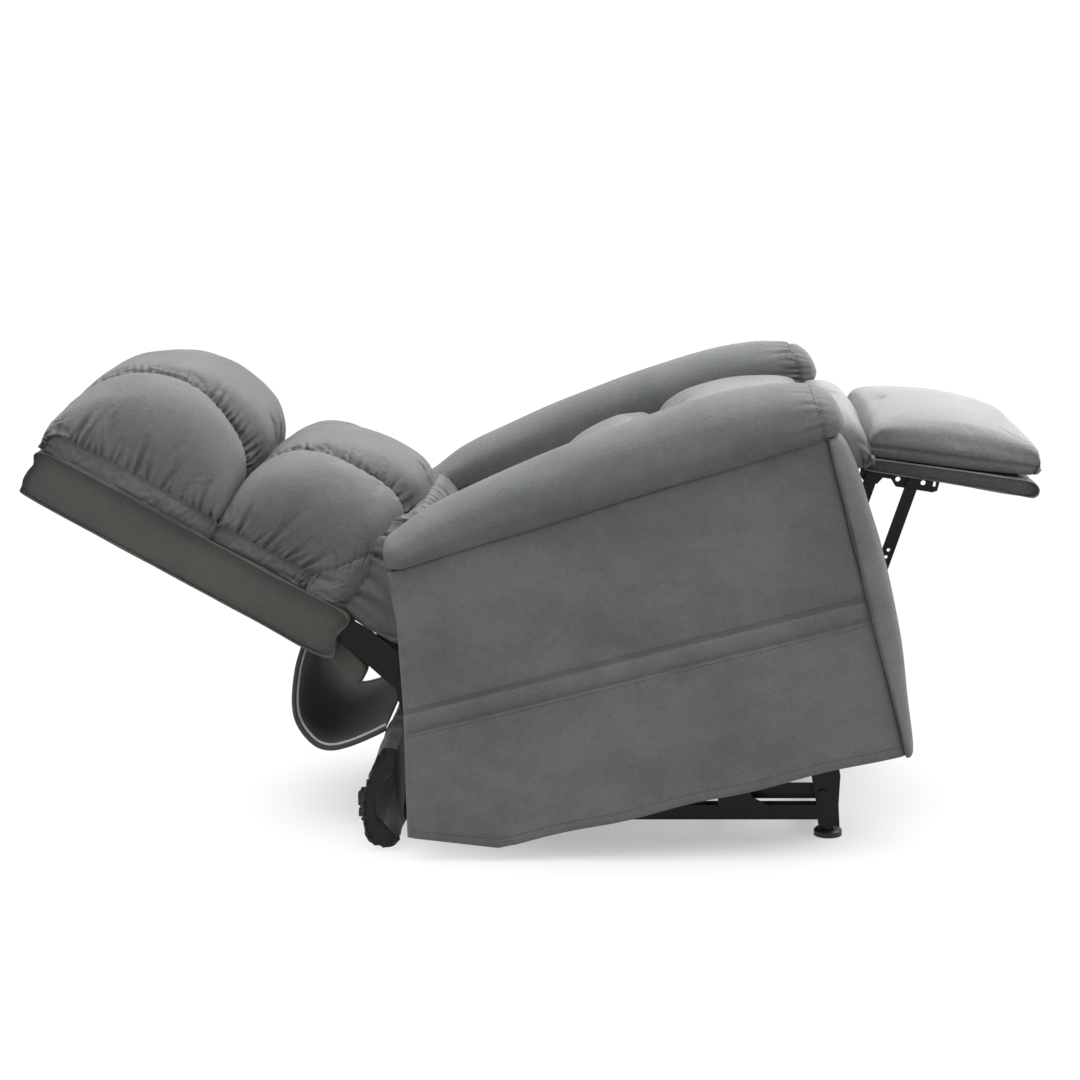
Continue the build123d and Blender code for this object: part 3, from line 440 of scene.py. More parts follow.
def even_stops(lines, cuts, step, closed=False):
    """Control numbers about one step apart along the longest of the lines, landing on each cut."""
    count = lines.shape[1]
    stops, marks = [float(cuts[0])], [0]
    for a, b in zip(cuts, cuts[1:]):
        dense = np.linspace(a, b, 80)
        points = np.einsum("kc,lcx->lkx", spline_weights(count, dense, closed), lines)
        lengths = np.linalg.norm(np.diff(points, axis=1), axis=2)
        best = lengths[np.argmax(lengths.sum(axis=1))]
        run = np.concatenate(([0], np.cumsum(best + 1e-9)))
        n = max(2, round(run[-1] / step))
        stops += list(np.interp(np.linspace(0, run[-1], n + 1)[1:], run, dense))
        marks.append(len(stops) - 1)
    return np.array(stops), marks


def surface(net, row_cuts, col_cuts, step, wrap=False):
    """Points of the net's surface, with the rows and columns that its cuts fall on."""
    net = np.asarray(net, float)
    last = net.shape[1] if wrap else net.shape[1] - 1
    rows, row_marks = even_stops(net.transpose(1, 0, 2), [0, *row_cuts, net.shape[0] - 1], step)
    cols, col_marks = even_stops(net, [0, *col_cuts, last], step, wrap)
    if wrap:
        cols = cols[:-1]
    grid = np.einsum("ri,ijx,cj->rcx", spline_weights(net.shape[0], rows), net,
                     spline_weights(net.shape[1], cols, wrap))
    return grid, row_marks, col_marks


def across(frame_xz, rows):
    """A net from rows of (width, line), each line a list of points of one working frame, in millimetres."""
    net = []
    for y, line in rows:
        line = np.asarray(line, float)
        x, z = frame_xz(line[:, 0], line[:, 1])
        net.append(np.stack([x, np.broadcast_to(np.asarray(y, float) / 1000, x.shape), z], axis=1))
    return np.array(net)


print("nets ready")

# %% [markdown]
# ## From a net to a mesh
# The grid's points become a mesh of squares. Edges that meet are welded, open ends are closed and the
# faces are turned outwards, because cloth pressure and every later groove push along the normals.

# %% Meshes from grids


def grid_normals(grid, wrap=False):
    if wrap:
        along = np.roll(grid, -1, 1) - np.roll(grid, 1, 1)
    else:
        along = np.gradient(grid, axis=1)
    n = np.cross(np.gradient(grid, axis=0), along)
    length = np.linalg.norm(n, axis=2, keepdims=True)
    n = np.where(length > 1e-12, n / np.maximum(length, 1e-12), 0)
    out = grid - grid.mean(axis=(0, 1))
    return n if (n * out).sum() >= 0 else -n


def grid_object(name, grid, material, wrap=False):
    rows, cols = grid.shape[:2]
    faces = []
    for i in range(rows - 1):
        for j in range(cols if wrap else cols - 1):
            k = (j + 1) % cols
            faces.append((i * cols + j, i * cols + k, (i + 1) * cols + k, (i + 1) * cols + j))
    mesh = bpy.data.meshes.new(name)
    mesh.from_pydata([tuple(p) for p in grid.reshape(-1, 3)], [], faces)
    bm = bmesh.new()
    bm.from_mesh(mesh)
    bmesh.ops.remove_doubles(bm, verts=bm.verts, dist=2e-5)
    loops = [e for e in bm.edges if e.is_boundary]
    if loops:
        made = bmesh.ops.holes_fill(bm, edges=loops, sides=0)["faces"]
        bmesh.ops.triangulate(bm, faces=made)
    bmesh.ops.recalc_face_normals(bm, faces=bm.faces)
    for face in bm.faces:
        face.smooth = True
    bm.to_mesh(mesh)
    bm.free()
    mesh.materials.append(material)
    obj = placed(name, mesh)
    return obj


def finer(grid, wrap=False):
    """Twice the points each way, by a smooth four-point rule."""
    def double(g, closed):
        if closed:
            mid = (-np.roll(g, 1, 0) + 9 * g + 9 * np.roll(g, -1, 0) - np.roll(g, -2, 0)) / 16
            out = np.empty((2 * len(g), *g.shape[1:]))
            out[0::2], out[1::2] = g, mid
            return out
        pad = np.concatenate([[2 * g[0] - g[1]], g, [2 * g[-1] - g[-2]]])
        mid = (-pad[:-3] + 9 * pad[1:-2] + 9 * pad[2:-1] - pad[3:]) / 16
        out = np.empty((2 * len(g) - 1, *g.shape[1:]))
        out[0::2], out[1::2] = g, mid
        return out
    grid = double(grid, False)
    return double(grid.transpose(1, 0, 2), wrap).transpose(1, 0, 2)


print("meshes ready")

# %% [markdown]
# ## Stuffing
# A real cushion gets its shape from foam pushing a cover out against its seams. Blender's Cloth does
# the same: the seams are pinned, pressure fills the panels, and the cover is let out a little so that
# it can wrinkle. Gravity is off, and no point may move further than the foam could push it.

# %% Stuffing


def stuff(grid, pinned, wrap=False, pressure=4.0, cap=0.022, slack=0.03, frames=18):
    """The grid after its cover is blown up between pinned points."""
    rows, cols = grid.shape[:2]
    faces = [(i * cols + j, i * cols + (j + 1) % cols, (i + 1) * cols + (j + 1) % cols, (i + 1) * cols + j)
             for i in range(rows - 1) for j in range(cols if wrap else cols - 1)]
    mesh = bpy.data.meshes.new("stuffing")
    mesh.from_pydata([tuple(p) for p in grid.reshape(-1, 3)], [], faces)
    outward = grid_normals(grid, wrap).reshape(-1, 3)
    mesh.update()
    normals = np.array([v.normal[:] for v in mesh.vertices])
    if (normals * outward).sum() < 0:
        mesh.flip_normals()
    obj = placed("stuffing", mesh)
    pins = obj.vertex_groups.new(name="seams")
    pins.add([int(i) for i in np.flatnonzero(pinned.reshape(-1))], 1.0, "REPLACE")
    cloth = obj.modifiers.new("cloth", "CLOTH")
    s = cloth.settings
    s.quality, s.mass, s.air_damping = 4, 0.25, 4.0
    s.tension_stiffness = s.compression_stiffness = 12
    s.shear_stiffness, s.bending_stiffness = 5, 0.35
    s.vertex_group_mass = "seams"
    s.shrink_min = -slack
    s.use_pressure, s.uniform_pressure_force = True, pressure
    s.effector_weights.gravity = 0
    cloth.collision_settings.use_collision = False
    cloth.point_cache.frame_start, cloth.point_cache.frame_end = 1, frames
    scene = bpy.context.scene
    for frame_number in range(1, frames + 1):
        scene.frame_set(frame_number)
    moved = obj.evaluated_get(bpy.context.evaluated_depsgraph_get()).data
    after = np.empty(len(moved.vertices) * 3)
    moved.vertices.foreach_get("co", after)
    shift = after.reshape(-1, 3) - grid.reshape(-1, 3)
    length = np.linalg.norm(shift, axis=1, keepdims=True)
    shift *= cap * np.tanh(length / cap) / np.maximum(length, 1e-9)
    scene.frame_set(1)
    bpy.data.objects.remove(obj)
    bpy.data.meshes.remove(mesh)
    return grid + np.nan_to_num(shift).reshape(grid.shape)


def pins_at(grid, rows=(), cols=()):
    """Pins along the edges of an open grid and along its seams."""
    pinned = np.zeros(grid.shape[:2], bool)
    pinned[[0, -1, *rows]] = True
    pinned[:, [0, -1, *cols]] = True
    return pinned


print("stuffing on")

# %% [markdown]
# ## Seams and gathers
# Along a seam the leather dives in, and where a longer edge was sewn to a shorter one it puckers into
# sharp little valleys that fade out over the panel. Each valley has its own depth, width, length and
# lean, from a fixed seed, so no two are alike.

# %% Seams


def run_from(grid, line, axis):
    """Distance over the surface from a grid line, measured along the other axis."""
    g = grid if axis == 0 else grid.transpose(1, 0, 2)
    steps = np.linalg.norm(np.diff(g, axis=0), axis=2)
    run = np.concatenate([np.zeros((1, g.shape[1])), np.cumsum(steps, axis=0)])
    run = run - run[line]
    return run if axis == 0 else run.T


def along_line(grid, line, axis):
    g = grid[line] if axis == 0 else grid[:, line]
    run = np.concatenate([[0], np.cumsum(np.linalg.norm(np.diff(g, axis=0), axis=1))])
    return run[None, :] if axis == 0 else run[:, None]


def seam(grid, line, axis, depth=0.006, width=0.008, gather=0.0, pitch=0.016, reach=0.045, sides=(1, 1), seed=1,
         span=(0.0, 1.0)):
    """How far each point sinks for a seam on a grid line, with its gathers to either side."""
    far = run_from(grid, line, axis)
    place = along_line(grid, line, axis)
    whole = float(place.max())
    sink = depth * np.exp(-np.abs(far) / width)
    if gather:
        rng = np.random.default_rng(seed)
        for side, on in zip((-1, 1), sides):
            if not on:
                continue
            d = np.where(far * side >= 0, np.abs(far), 1e3)
            x = rng.uniform(0, pitch)
            while x < whole:
                if span[0] <= x / whole <= span[1]:
                    deep = gather * rng.uniform(0.45, 1.15)
                    long = reach * rng.uniform(0.35, 1.25)
                    lean = rng.normal(0, 0.14)
                    wide = rng.uniform(0.0019, 0.0027) + 0.045 * np.minimum(d, 0.2)
                    off = (place - x - lean * np.minimum(d, 0.2)) / wide
                    valley = np.exp(-np.abs(off) ** 1.5) - 0.34 * np.exp(-((np.abs(off) - 2.3) / 1.1) ** 2)
                    sink = sink + on * deep * valley * np.exp(-(d / long) ** 1.6) * (1 - 0.45 * np.exp(-d / 0.003))
                x += pitch * rng.uniform(0.55, 1.6)
    return sink


def drift(grid, amount, size, seed):
    """Slow unevenness of a hand-filled cover."""
    rng = np.random.default_rng(seed)
    out = np.zeros(grid.shape[:2])
    for _ in range(9):
        direction = rng.normal(size=3)
        direction /= np.linalg.norm(direction) * size * rng.uniform(0.6, 1.8)
        out += np.sin(grid @ direction * 2 * math.pi + rng.uniform(0, 6.28))
    return out * amount / 3.5


def press(grid, sink, wrap=False):
    return grid - grid_normals(grid, wrap) * sink[..., None]


stitch_rows = {}


def stitch(body, points, closed=False):
    """Remembers a line of stitches for a body, to be sewn at the end."""
    stitch_rows.setdefault(body, []).append((np.array(points), closed))


def dress(obj, body, nodes):
    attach(obj, body)
    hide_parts(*nodes)
    print(obj.name, len(obj.data.polygons), "faces")
    return obj


def mirrored(rows):
    """Rows from one side to the middle, repeated on the other side."""
    return rows + [(-y, line) for y, line in rows[-2::-1]]


def squeezed(line, floor_t, factor):
    """A line pulled down to a share of its height over the base."""
    return [(s, floor_t + (t - floor_t) * factor) for s, t in line]


def between(a, b, f):
    """A line part of the way from one line to another."""
    return [(p[0] * (1 - f) + q[0] * f, p[1] * (1 - f) + q[1] * f) for p, q in zip(a, b)]


print("seams ready")

# %% [markdown]
# ## Head pillow
# The head pillow is three bolsters side by side: a wide middle one and a rounded one at each end. Two
# lengthwise seams part them, and each end bolster is gathered into a low seam over a plain boxing
# strip that meets the shell. The net has a row for each of these lines.

# %% Head pillow
HEAD_MIDDLE = [(384, 88), (369, 186), (376, 258), (420, 303), (494, 323), (562, 315), (634, 286), (692, 232),
               (721, 150), (722, 88)]
HEAD_SEAM = [(388, 88), (383, 160), (392, 214), (433, 250), (495, 278), (558, 287), (622, 269), (676, 226),
             (714, 150), (718, 88)]
HEAD_FOOT = [(383, 87), (383, 112), (387, 122), (430, 124), (492, 125), (556, 124), (622, 123), (676, 122),
             (709, 113), (713, 87)]
HEAD_BASE = [(383, 87), (383, 87.2), (387, 87.4), (430, 87.6), (492, 87.8), (556, 87.8), (622, 87.6), (676, 87.4),
             (710, 87.2), (713, 87)]


def tucked(line, amount):
    """A line whose lower end starts further up the back by an amount that fades towards its top."""
    low, high = min(s for s, _ in line), max(s for s, _ in line)
    return [(s + amount * ((high - s) / (high - low)) ** 1.4, t) for s, t in line]


def back_pillow(name, nodes, middle, crease, foot, base, side, end_seams, seed, tuck=0):
    shares = ((-7, 0.38, 0.8), (-2, 0.64, 0.45), (20, 0.87, 0.12), (66, 1.03, 0.0))
    rows = mirrored([
        (-side + 3, tucked(base, tuck)), (-side, tucked(foot, tuck)),
        *[(inset - side, tucked(squeezed(crease, 88, share), pull * tuck)) for inset, share, pull in shares],
        (-138, crease),
        (-96, [(0.25 * a[0] + 0.75 * b[0], 0.25 * a[1] + 0.75 * b[1]) for a, b in zip(crease, middle)]), (0, middle)])
    grid, marks, ends = surface(across(back_xz, rows), (1, 6, 10, 15), end_seams, 0.0072)
    grid = stuff(grid, pins_at(grid, rows=marks[1:-1]), pressure=3.2, cap=0.016, slack=0.02)
    grid = finer(finer(grid))
    marks, ends = [4 * m for m in marks], [4 * m for m in ends]
    sink = drift(grid, 0.0016, 0.16, seed)
    for k, m in enumerate(marks[1:-1]):
        if k in (0, 3):
            sink += seam(grid, m, 0, 0.0035, 0.0035, 0.0070, 0.018, 0.048, (0.05, 1) if k == 0 else (1, 0.05),
                         seed + 11 * k, (0.07, 0.93))
        else:
            sink += seam(grid, m, 0, 0.009, 0.008, 0.0046, 0.0125, 0.024, (0.8, 1) if k == 1 else (1, 0.8),
                         seed + 11 * k)
    for k, m in enumerate(ends[1:-1]):
        sink += seam(grid, m, 1, 0.003, 0.005, 0.0035, 0.020, 0.030, (1, 1), seed + 5 + k)
    grid = press(grid, sink)
    obj = grid_object(name, grid, LEATHER)
    for k, m in enumerate(marks[1:-1]):
        stitch("back", grid[m - 2 if k in (0, 2) else m + 2][::2])
    return dress(obj, "back", nodes)


back_pillow("head_pillow_cover", ["head_pillow"], HEAD_MIDDLE, HEAD_SEAM, HEAD_FOOT, HEAD_BASE, 276, (8,), 3)

# %% [markdown]
# ## Lumbar pillow
# The lumbar pillow is built the same way, lower and longer. Its end bolsters stop at a cross seam
# before the pleated panel below, so that seam is one of the net's columns.

# %% Lumbar pillow
LUMBAR_MIDDLE = [(92, 88), (70, 190), (66, 276), (104, 331), (178, 345), (244, 333), (302, 309), (350, 268),
                 (376, 190), (380, 88)]
LUMBAR_SEAM = [(96, 88), (86, 166), (92, 240), (120, 284), (172, 296), (232, 298), (288, 290), (338, 263),
               (373, 200), (379, 88)]
LUMBAR_FOOT = [(98, 87), (98, 108), (104, 117), (134, 118), (184, 119), (238, 118), (292, 118), (342, 118),
               (377, 113), (382, 87)]
LUMBAR_BASE = [(98, 87), (98, 87.2), (104, 87.4), (134, 87.6), (184, 87.8), (238, 87.8), (292, 87.6), (342, 87.4),
               (377, 87.2), (382, 87)]
back_pillow("lumbar_pillow_cover", ["lumbar_pillow"], LUMBAR_MIDDLE, LUMBAR_SEAM, LUMBAR_FOOT, LUMBAR_BASE, 270,
            (2,), 23, 96)

# %% [markdown]
# ## Pleated panel under the lumbar pillow
# A loose panel hangs from the lumbar pillow to the seat. Its fullness falls in long soft pleats, which
# are gathers that run the whole height.

# %% Pleated panel
PLEAT = [(91, 82), (91, 200), (86, 300), (40, 294), (-4, 246), (-18, 166), (-8, 90), (40, 80)]
PLEAT_SIDE = [(214, 82), (196, 150), (140, 226), (66, 246), (8, 222), (-16, 160), (-8, 96), (60, 80)]
PLEAT_BASE = [(206, 79), (190, 79), (150, 79), (90, 79), (30, 79), (0, 79), (10, 79), (60, 79)]
rows = mirrored([(-258, PLEAT_BASE), (-264, between(PLEAT_BASE, PLEAT_SIDE, 0.5)),
                 (-265, between(PLEAT_BASE, PLEAT_SIDE, 0.9)), (-256, PLEAT_SIDE),
                 (-215, between(PLEAT_SIDE, PLEAT, 0.8)), (-140, PLEAT), (0, squeezed(PLEAT, 82, 1.05))])
grid, marks, ends = surface(across(back_xz, rows), (), (2,), 0.008)
grid = finer(grid)
sink = drift(grid, 0.0015, 0.1, 41)
sink += seam(grid, 2 * ends[1], 1, 0.003, 0.006, 0.011, 0.030, 0.19, (1, 1), 42)
grid = press(grid, sink)
dress(grid_object("pleated_panel", grid, LEATHER), "back", ["back_infill"])

# %% [markdown]
# ## Back shell
# The shell is a shallow upholstered tray. Its sides are smooth, pulled over a board, with a soft swell
# and rounded corners. A ring of points around the tray is carried across the width and closed at both
# sides by pulling the ring in.

# %% Back shell
SHELL = [(100, 1), (250, -1), (500, -1), (694, 0), (711, 12), (716, 30), (712, 56), (700, 84), (500, 86.5),
         (250, 86.5), (106, 86), (101, 44)]


def rings(line, centre, half, edge):
    """A slab across the width: the line at each side, then pulled in to close both ends."""
    line = np.asarray(line, float)
    centre = np.asarray(centre, float)
    ends = [(-(half - inset), centre + (line - centre) * share) for inset, share in (
        (-1.0, 0.0), (-1.0, 0.35), (-1.0, 0.7), (-0.8, 0.9), (0.0, 0.965), (0.4 * edge, 0.99), (1.1 * edge, 1.0))]
    return ends + [(0.0, line)] + [(-y, shape) for y, shape in ends[::-1]]


net = across(back_xz, rings(SHELL, (405, 43), 275, 7))
grid, _, _ = surface(net, (6, 8), (3, 7), 0.0085, wrap=True)
grid = finer(grid, wrap=True)
sink = drift(grid, 0.0012, 0.22, 51)
grid = press(grid, sink, wrap=True)
dress(grid_object("back_shell_cover", grid, SHELL_LEATHER, wrap=True), "back", ["back_shell"])

# Below its cut end the shell's skin goes on as a short flap beside each hinge.
TONGUE = [(104, 34), (62, 26), (30, 14), (24, -5), (29, -23), (62, -15), (98, 0), (108, 16)]
for side, middle in (("right", -238), ("left", 238)):
    net = across(back_xz, [(middle + y, line) for y, line in rings(TONGUE, (68, 6), 17, 4)])
    grid, _, _ = surface(net, (), (), 0.006, wrap=True)
    tongue = grid_object(f"tongue_{side}", press(grid, drift(grid, 0.0008, 0.06, 55), wrap=True), SHELL_LEATHER,
                         wrap=True)
    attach(tongue, "back")
    if side == "right":
        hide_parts("back_tongue")

# %% [markdown]
# ## Arm rolls
# Each arm is topped by a fat roll of foam. It is narrow and low at the back, widest near the front, and
# ends in a puckered front cap. Sections across the roll are joined along its length. The
# lower outer edge tucks under, just over the side panel.

# %% Arm rolls


def roll_foot(u):
    return 556.0 + 0.05 * (u + 130.0)


ROLL_STATIONS = [(-133, 0.0, 596), (-131, 0.45, 606), (-122, 0.82, 612), (-98, 1.0, 617), (-37, 1.0, 640),
                 (94, 1.0, 667), (277, 1.0, 692),
                 (454, 1.0, 704), (557, 1.0, 700), (612, 1.0, 688), (641, 1.0, 678), (656, 0.95, 670), (668, 0.80,
                         660), (675, 0.45, 648), (677, 0.0, 640)]


def roll_section(u, top, share):
    low = roll_foot(u) + 0.5
    h = top - low
    ring = [(424, 0.0), (438, 0.17), (441, 0.40), (431, 0.72), (402, 0.95), (362, 1.0), (322, 0.95), (294, 0.70),
            (287, 0.34), (292, 0.03), (330, 0.0), (380, 0.0)]
    middle = np.array((362.0, low + 0.46 * h))
    return middle + (np.array([(y, low + f * h) for y, f in ring]) - middle) * share


def arm_roll(hand, side, seed):
    net = []
    for u, share, top in ROLL_STATIONS:
        ring = roll_section(u, top, share)
        x, z = body_xz(np.full(len(ring), float(u)), ring[:, 1])
        net.append(np.stack([x, hand * ring[:, 0] / 1000, z], axis=1))
    grid, marks, ends = surface(np.array(net), (10,), (0.001, 9), 0.0075, wrap=True)
    pinned = np.zeros(grid.shape[:2], bool)
    pinned[[0, -1]] = True
    pinned[marks[1]] = True
    pinned[:, ends[2]:] = True
    pinned[:, 0] = True
    grid = stuff(grid, pinned, wrap=True, pressure=1.6, cap=0.006, slack=0.01)
    grid = finer(grid, wrap=True)
    sink = drift(grid, 0.0013, 0.2, seed)
    front = 2 * marks[1]
    around = grid.shape[1]
    top_side = np.zeros(around)
    top_side[: 2 * ends[2]] = 1.0
    sink += seam(grid, front, 0, 0.0045, 0.005, 0.0036, 0.016, 0.036, (1, 0.3), seed + 1) * top_side[None, :]
    grid = press(grid, sink, wrap=True)
    obj = grid_object(f"arm_roll_cover_{side}", grid, LEATHER, wrap=True)
    stitch("seat_body", grid[front - 1, : 2 * ends[2]])
    dress(obj, "seat_body", [f"arm_roll_{side}"])


arm_roll(-1, "right", 61)
arm_roll(1, "left", 67)

# %% [markdown]
# ## Arm fronts
# Below the cap a padded strip runs down the front of each arm. It bulges forwards and meets the side
# panel in a deep straight groove.

# %% Arm fronts
FRONT_BULGE = [(27, 649, 0.0), (30, 655, 0.6), (40, 661, 0.95), (120, 671, 1.0), (260, 685, 1.0), (384, 689, 1.0),
               (492, 684, 1.0), (560, 677, 1.0), (588, 668, 0.97), (596, 658, 0.7), (598, 654, 0.0)]


def arm_front(hand, side, seed):
    net = []
    for v, nose, share in FRONT_BULGE:
        deep = nose - 643
        ring = np.array([(644, 427), (647 + 0.25 * deep, 430), (643 + 0.82 * deep, 414), (643 + deep, 386),
                         (643 + 1.02 * deep, 358),
                         (643 + deep, 330), (643 + 0.82 * deep, 302), (647 + 0.25 * deep, 287), (644, 290), (643.5,
                                 358)], float)
        middle = np.array((646.0, 358.0))
        ring = middle + (ring - middle) * share
        x, z = body_xz(ring[:, 0], np.full(len(ring), float(v)))
        net.append(np.stack([x, hand * ring[:, 1] / 1000, z], axis=1))
    grid, _, _ = surface(np.array(net), (), (0.001, 8), 0.0075, wrap=True)
    grid = finer(grid, wrap=True)
    sink = drift(grid, 0.0016, 0.12, seed)
    grid = press(grid, sink, wrap=True)
    obj = grid_object(f"arm_front_cover_{side}", grid, LEATHER, wrap=True)
    dress(obj, "seat_body", [f"arm_front_{side}"])


arm_front(-1, "right", 71)
arm_front(1, "left", 73)

# %% [markdown]
# ## Arm side panels
# The outside of each arm is one tall panel. A band between two level seams holds it to the wooden box,
# and below the band the leather hangs free and billows. Here a rule gives the shape best: rows of
# the panel's own height and length, pushed out by soft waves that grow towards the hem.

# %% Arm side panels
BAND_TOP, BAND_LOW = 312.5, 277.5
PANEL_FRONT, PANEL_REAR, REAR_SLOPE = 644.0, -168.0, 0.244
PANEL_FACE, PANEL_BACK, LEATHER_THICK = 425.0, 413.5, 0.0035
UPPER_ROWS, BAND_ROWS, LOWER_ROWS = 72, 10, 69
BAND_SEAMS = (UPPER_ROWS - 1, UPPER_ROWS + BAND_ROWS - 1)


def arm_side(hand, side, seed):
    rng = np.random.default_rng(seed)
    lengths = np.linspace(0, 1, 212)
    upper = np.linspace(0, 1, UPPER_ROWS)
    band = np.linspace(0, 1, BAND_ROWS + 1)[1:]
    lower = np.linspace(0, 1, LOWER_ROWS + 1)[1:]
    hem = np.interp(lengths, [0, 0.172, 0.585, 1.0], [100, 44, 38.5, 36])
    hem = hem + 1.6 * np.sin(lengths * 23 + 1) * (lengths > 0.2)
    u_rows, v_rows, out_rows = [], [], []
    waves = [(rng.uniform(0.05, 0.95), rng.uniform(0.05, 0.16), rng.uniform(-1, 1),
              rng.uniform(-0.25, 0.25)) for _ in range(9)]
    folds = [(rng.uniform(0, 1), rng.uniform(0.1, 0.9), rng.uniform(0.04, 0.10), rng.uniform(0.05, 0.13),
              rng.uniform(-1, 1)) for _ in range(16)]
    for f in upper:
        rear = np.interp(557 - f * 245, [312, 510, 557], [-168, -128, -129])
        u = rear + (PANEL_FRONT - rear) * lengths
        v = (roll_foot(u) + 2.5) * (1 - f) + BAND_TOP * f
        puff = 2.8 * math.sin(math.pi * min(1, f * 1.02)) ** 0.7 * np.sin(np.pi * np.clip(lengths, 0.0, 1)) ** 0.5
        for a, b, wide, tall, k in folds:
            puff = puff + 0.8 * k * np.exp(-((lengths - a) / wide) ** 2 - ((f - b) / tall) ** 2)
        out_rows.append(puff), u_rows.append(u), v_rows.append(v)
    for f in band:
        v = BAND_TOP - (BAND_TOP - BAND_LOW) * f
        rear = PANEL_REAR - REAR_SLOPE * (BAND_TOP - v)
        u = rear + (PANEL_FRONT - rear) * lengths
        out_rows.append(1.6 * math.sin(math.pi * f) + 0 * lengths), u_rows.append(u), v_rows.append(np.full_like(u, v))
    for f in lower:
        v = BAND_LOW * (1 - f) + hem * f
        rear = PANEL_REAR - REAR_SLOPE * (BAND_TOP - v[0])
        u = rear + (PANEL_FRONT - rear) * lengths
        grow = f ** 0.8
        puff = 1.5 * math.sin(math.pi * f) + 0 * lengths
        for a, wide, k, lean in waves:
            puff = puff + 5.2 * k * grow * (1 - 0.35 * f) * np.exp(-((lengths - a - lean * f) / wide) ** 2)
        puff = puff * np.clip((1.0 - lengths) / 0.10, 0, 1) ** 0.7
        out_rows.append(puff - 2.0 * math.exp(-((1 - f) / 0.02) ** 2)), u_rows.append(u), v_rows.append(v)
    u, v, out = np.array(u_rows), np.array(v_rows), np.array(out_rows)
    edge = np.minimum(lengths, 1 - lengths) * 800
    out = out - 4.0 * np.exp(-(edge / 4.0) ** 1.5)[None, :]
    out[0] -= 3
    for row in BAND_SEAMS:
        near = np.abs(np.arange(len(out)) - row)
        out -= (2.9 * np.exp(-near / 0.9))[:, None]
    for _ in range(26):
        a, b = rng.uniform(0.02, 0.98), rng.integers(86, 112)
        long, lean = rng.uniform(6, 20), rng.normal(0, 0.0016)
        down = np.arange(len(out))[:, None] - (BAND_SEAMS[1] + 1.0)
        off = (lengths[None, :] - a - lean * down) / (0.006 + 0.0004 * np.abs(down))
        out -= np.where(down > 0, rng.uniform(0.3, 1.3) * np.exp(-off ** 2) * np.exp(-(down / long) ** 2), 0)
    x, z = body_xz(u, v)
    face = np.stack([x, hand * (PANEL_FACE + out) / 1000, z], axis=2)
    back = face.copy()
    back[..., 1] = hand * PANEL_BACK / 1000
    lip = face.copy()
    lip[..., 1] = hand * (np.abs(face[..., 1]) - LEATHER_THICK)
    ring = np.concatenate([face, lip[-1:], back[::-1]], axis=0)
    obj = grid_object(f"arm_panel_{side}", ring, LEATHER)
    for row in (BAND_SEAMS[0] - 2, BAND_SEAMS[1] + 2):
        stitch("seat_body", face[row, 2:-2])
    stitch("seat_body", face[-6, 2:-2])
    dress(obj, "seat_body", [f"arm_side_{side}"])


arm_side(-1, "right", 81)
arm_side(1, "left", 85)

# %% [markdown]
# ## Seat cushions and bridge pad
# The seat is two crowned pads with a deep valley between them, and a smaller pad that bridges to the
# footrest. Each is a sheet over its base, blown up by the same stuffing.

# %% Seat
SEAT_BACK = [(151, 503), (145, 548), (150, 588), (196, 618), (250, 634), (300, 643), (334, 643), (350, 620),
             (352, 560), (352, 503)]
SEAT_MAIN = [(354, 503), (354, 560), (356, 622), (374, 648), (410, 659), (462, 662), (530, 653), (590, 642),
             (626, 630), (634, 600), (634, 560), (634, 503)]
SEAT_SIDE = 281
BRIDGE_PAD = [(636, 507), (636, 560), (638, 606), (652, 622), (686, 611), (706, 590), (716, 560), (708, 532),
              (697, 510)]


def seat_pad(name, node, line, low, seed, puff=0.010, seams=()):
    shares = ((2, 0.02), (-1, 0.45), (4, 0.78), (34, 0.93), (110, 0.985))
    rows = mirrored([(inset - SEAT_SIDE, squeezed(line, low, share)) for inset, share in shares] + [(0, line)])
    grid, marks, ends = surface(across(body_xz, rows), (1,), seams, 0.0085)
    grid = stuff(grid, pins_at(grid, cols=ends[1:-1]), pressure=2.2, cap=puff, slack=0.01)
    grid = finer(grid)
    sink = drift(grid, 0.0018, 0.17, seed)
    for m in ends[1:-1]:
        sink += seam(grid, 2 * m, 1, 0.003, 0.005, 0.0035, 0.022, 0.04, (1, 1), seed + m)
    sink += seam(grid, 0, 0, 0.0, 0.005, 0.004, 0.024, 0.05, (1, 1), seed + 2)
    grid = press(grid, sink)
    # The seat pads take the lighter copy of the leather, which paints the light on their tops.
    obj = grid_object(name, grid, LIT_TOPS_LEATHER)
    for m in ends[1:-1]:
        stitch("seat_body", grid[4:-4, 2 * m + 1])
    dress(obj, "seat_body", [node])


seat_pad("seat_rear_cover", "seat_cushion", SEAT_BACK, 503, 91)
seat_pad("seat_main_cover", "seat_front_cushion", SEAT_MAIN, 503, 93, seams=(9,))
seat_pad("bridge_cover", "bridge_pad", BRIDGE_PAD, 507, 95, puff=0.006)

# %% [markdown]
# ## Footrest
# The footrest is a thick pad on a covered board. The pad's top panel is sewn to a low side band, and its
# front corners end in small ears. The board is wrapped in the same leather, with soft round edges.

# %% Footrest
PAD_TOP = [(-12, 43), (-15, 58), (-15, 76), (-4, 98), (24, 108), (80, 115), (140, 118), (200, 114), (248, 106),
           (270, 97), (280, 82), (282, 64), (277, 47)]
PAD_SEAM = [(-12, 41), (-14, 46), (-14, 50), (-2, 51), (26, 52), (80, 53), (140, 54), (200, 55), (248, 56),
            (270, 56), (279, 55), (281, 52), (277, 46)]
PAD_FOOT = [(-11, 33), (-11, 33.2), (-11, 33.4), (0, 33.5), (26, 33.8), (80, 34.4), (140, 35.5), (200, 37.5),
            (248, 40.5), (268, 42), (275, 43), (275, 43.2), (275, 43.4)]


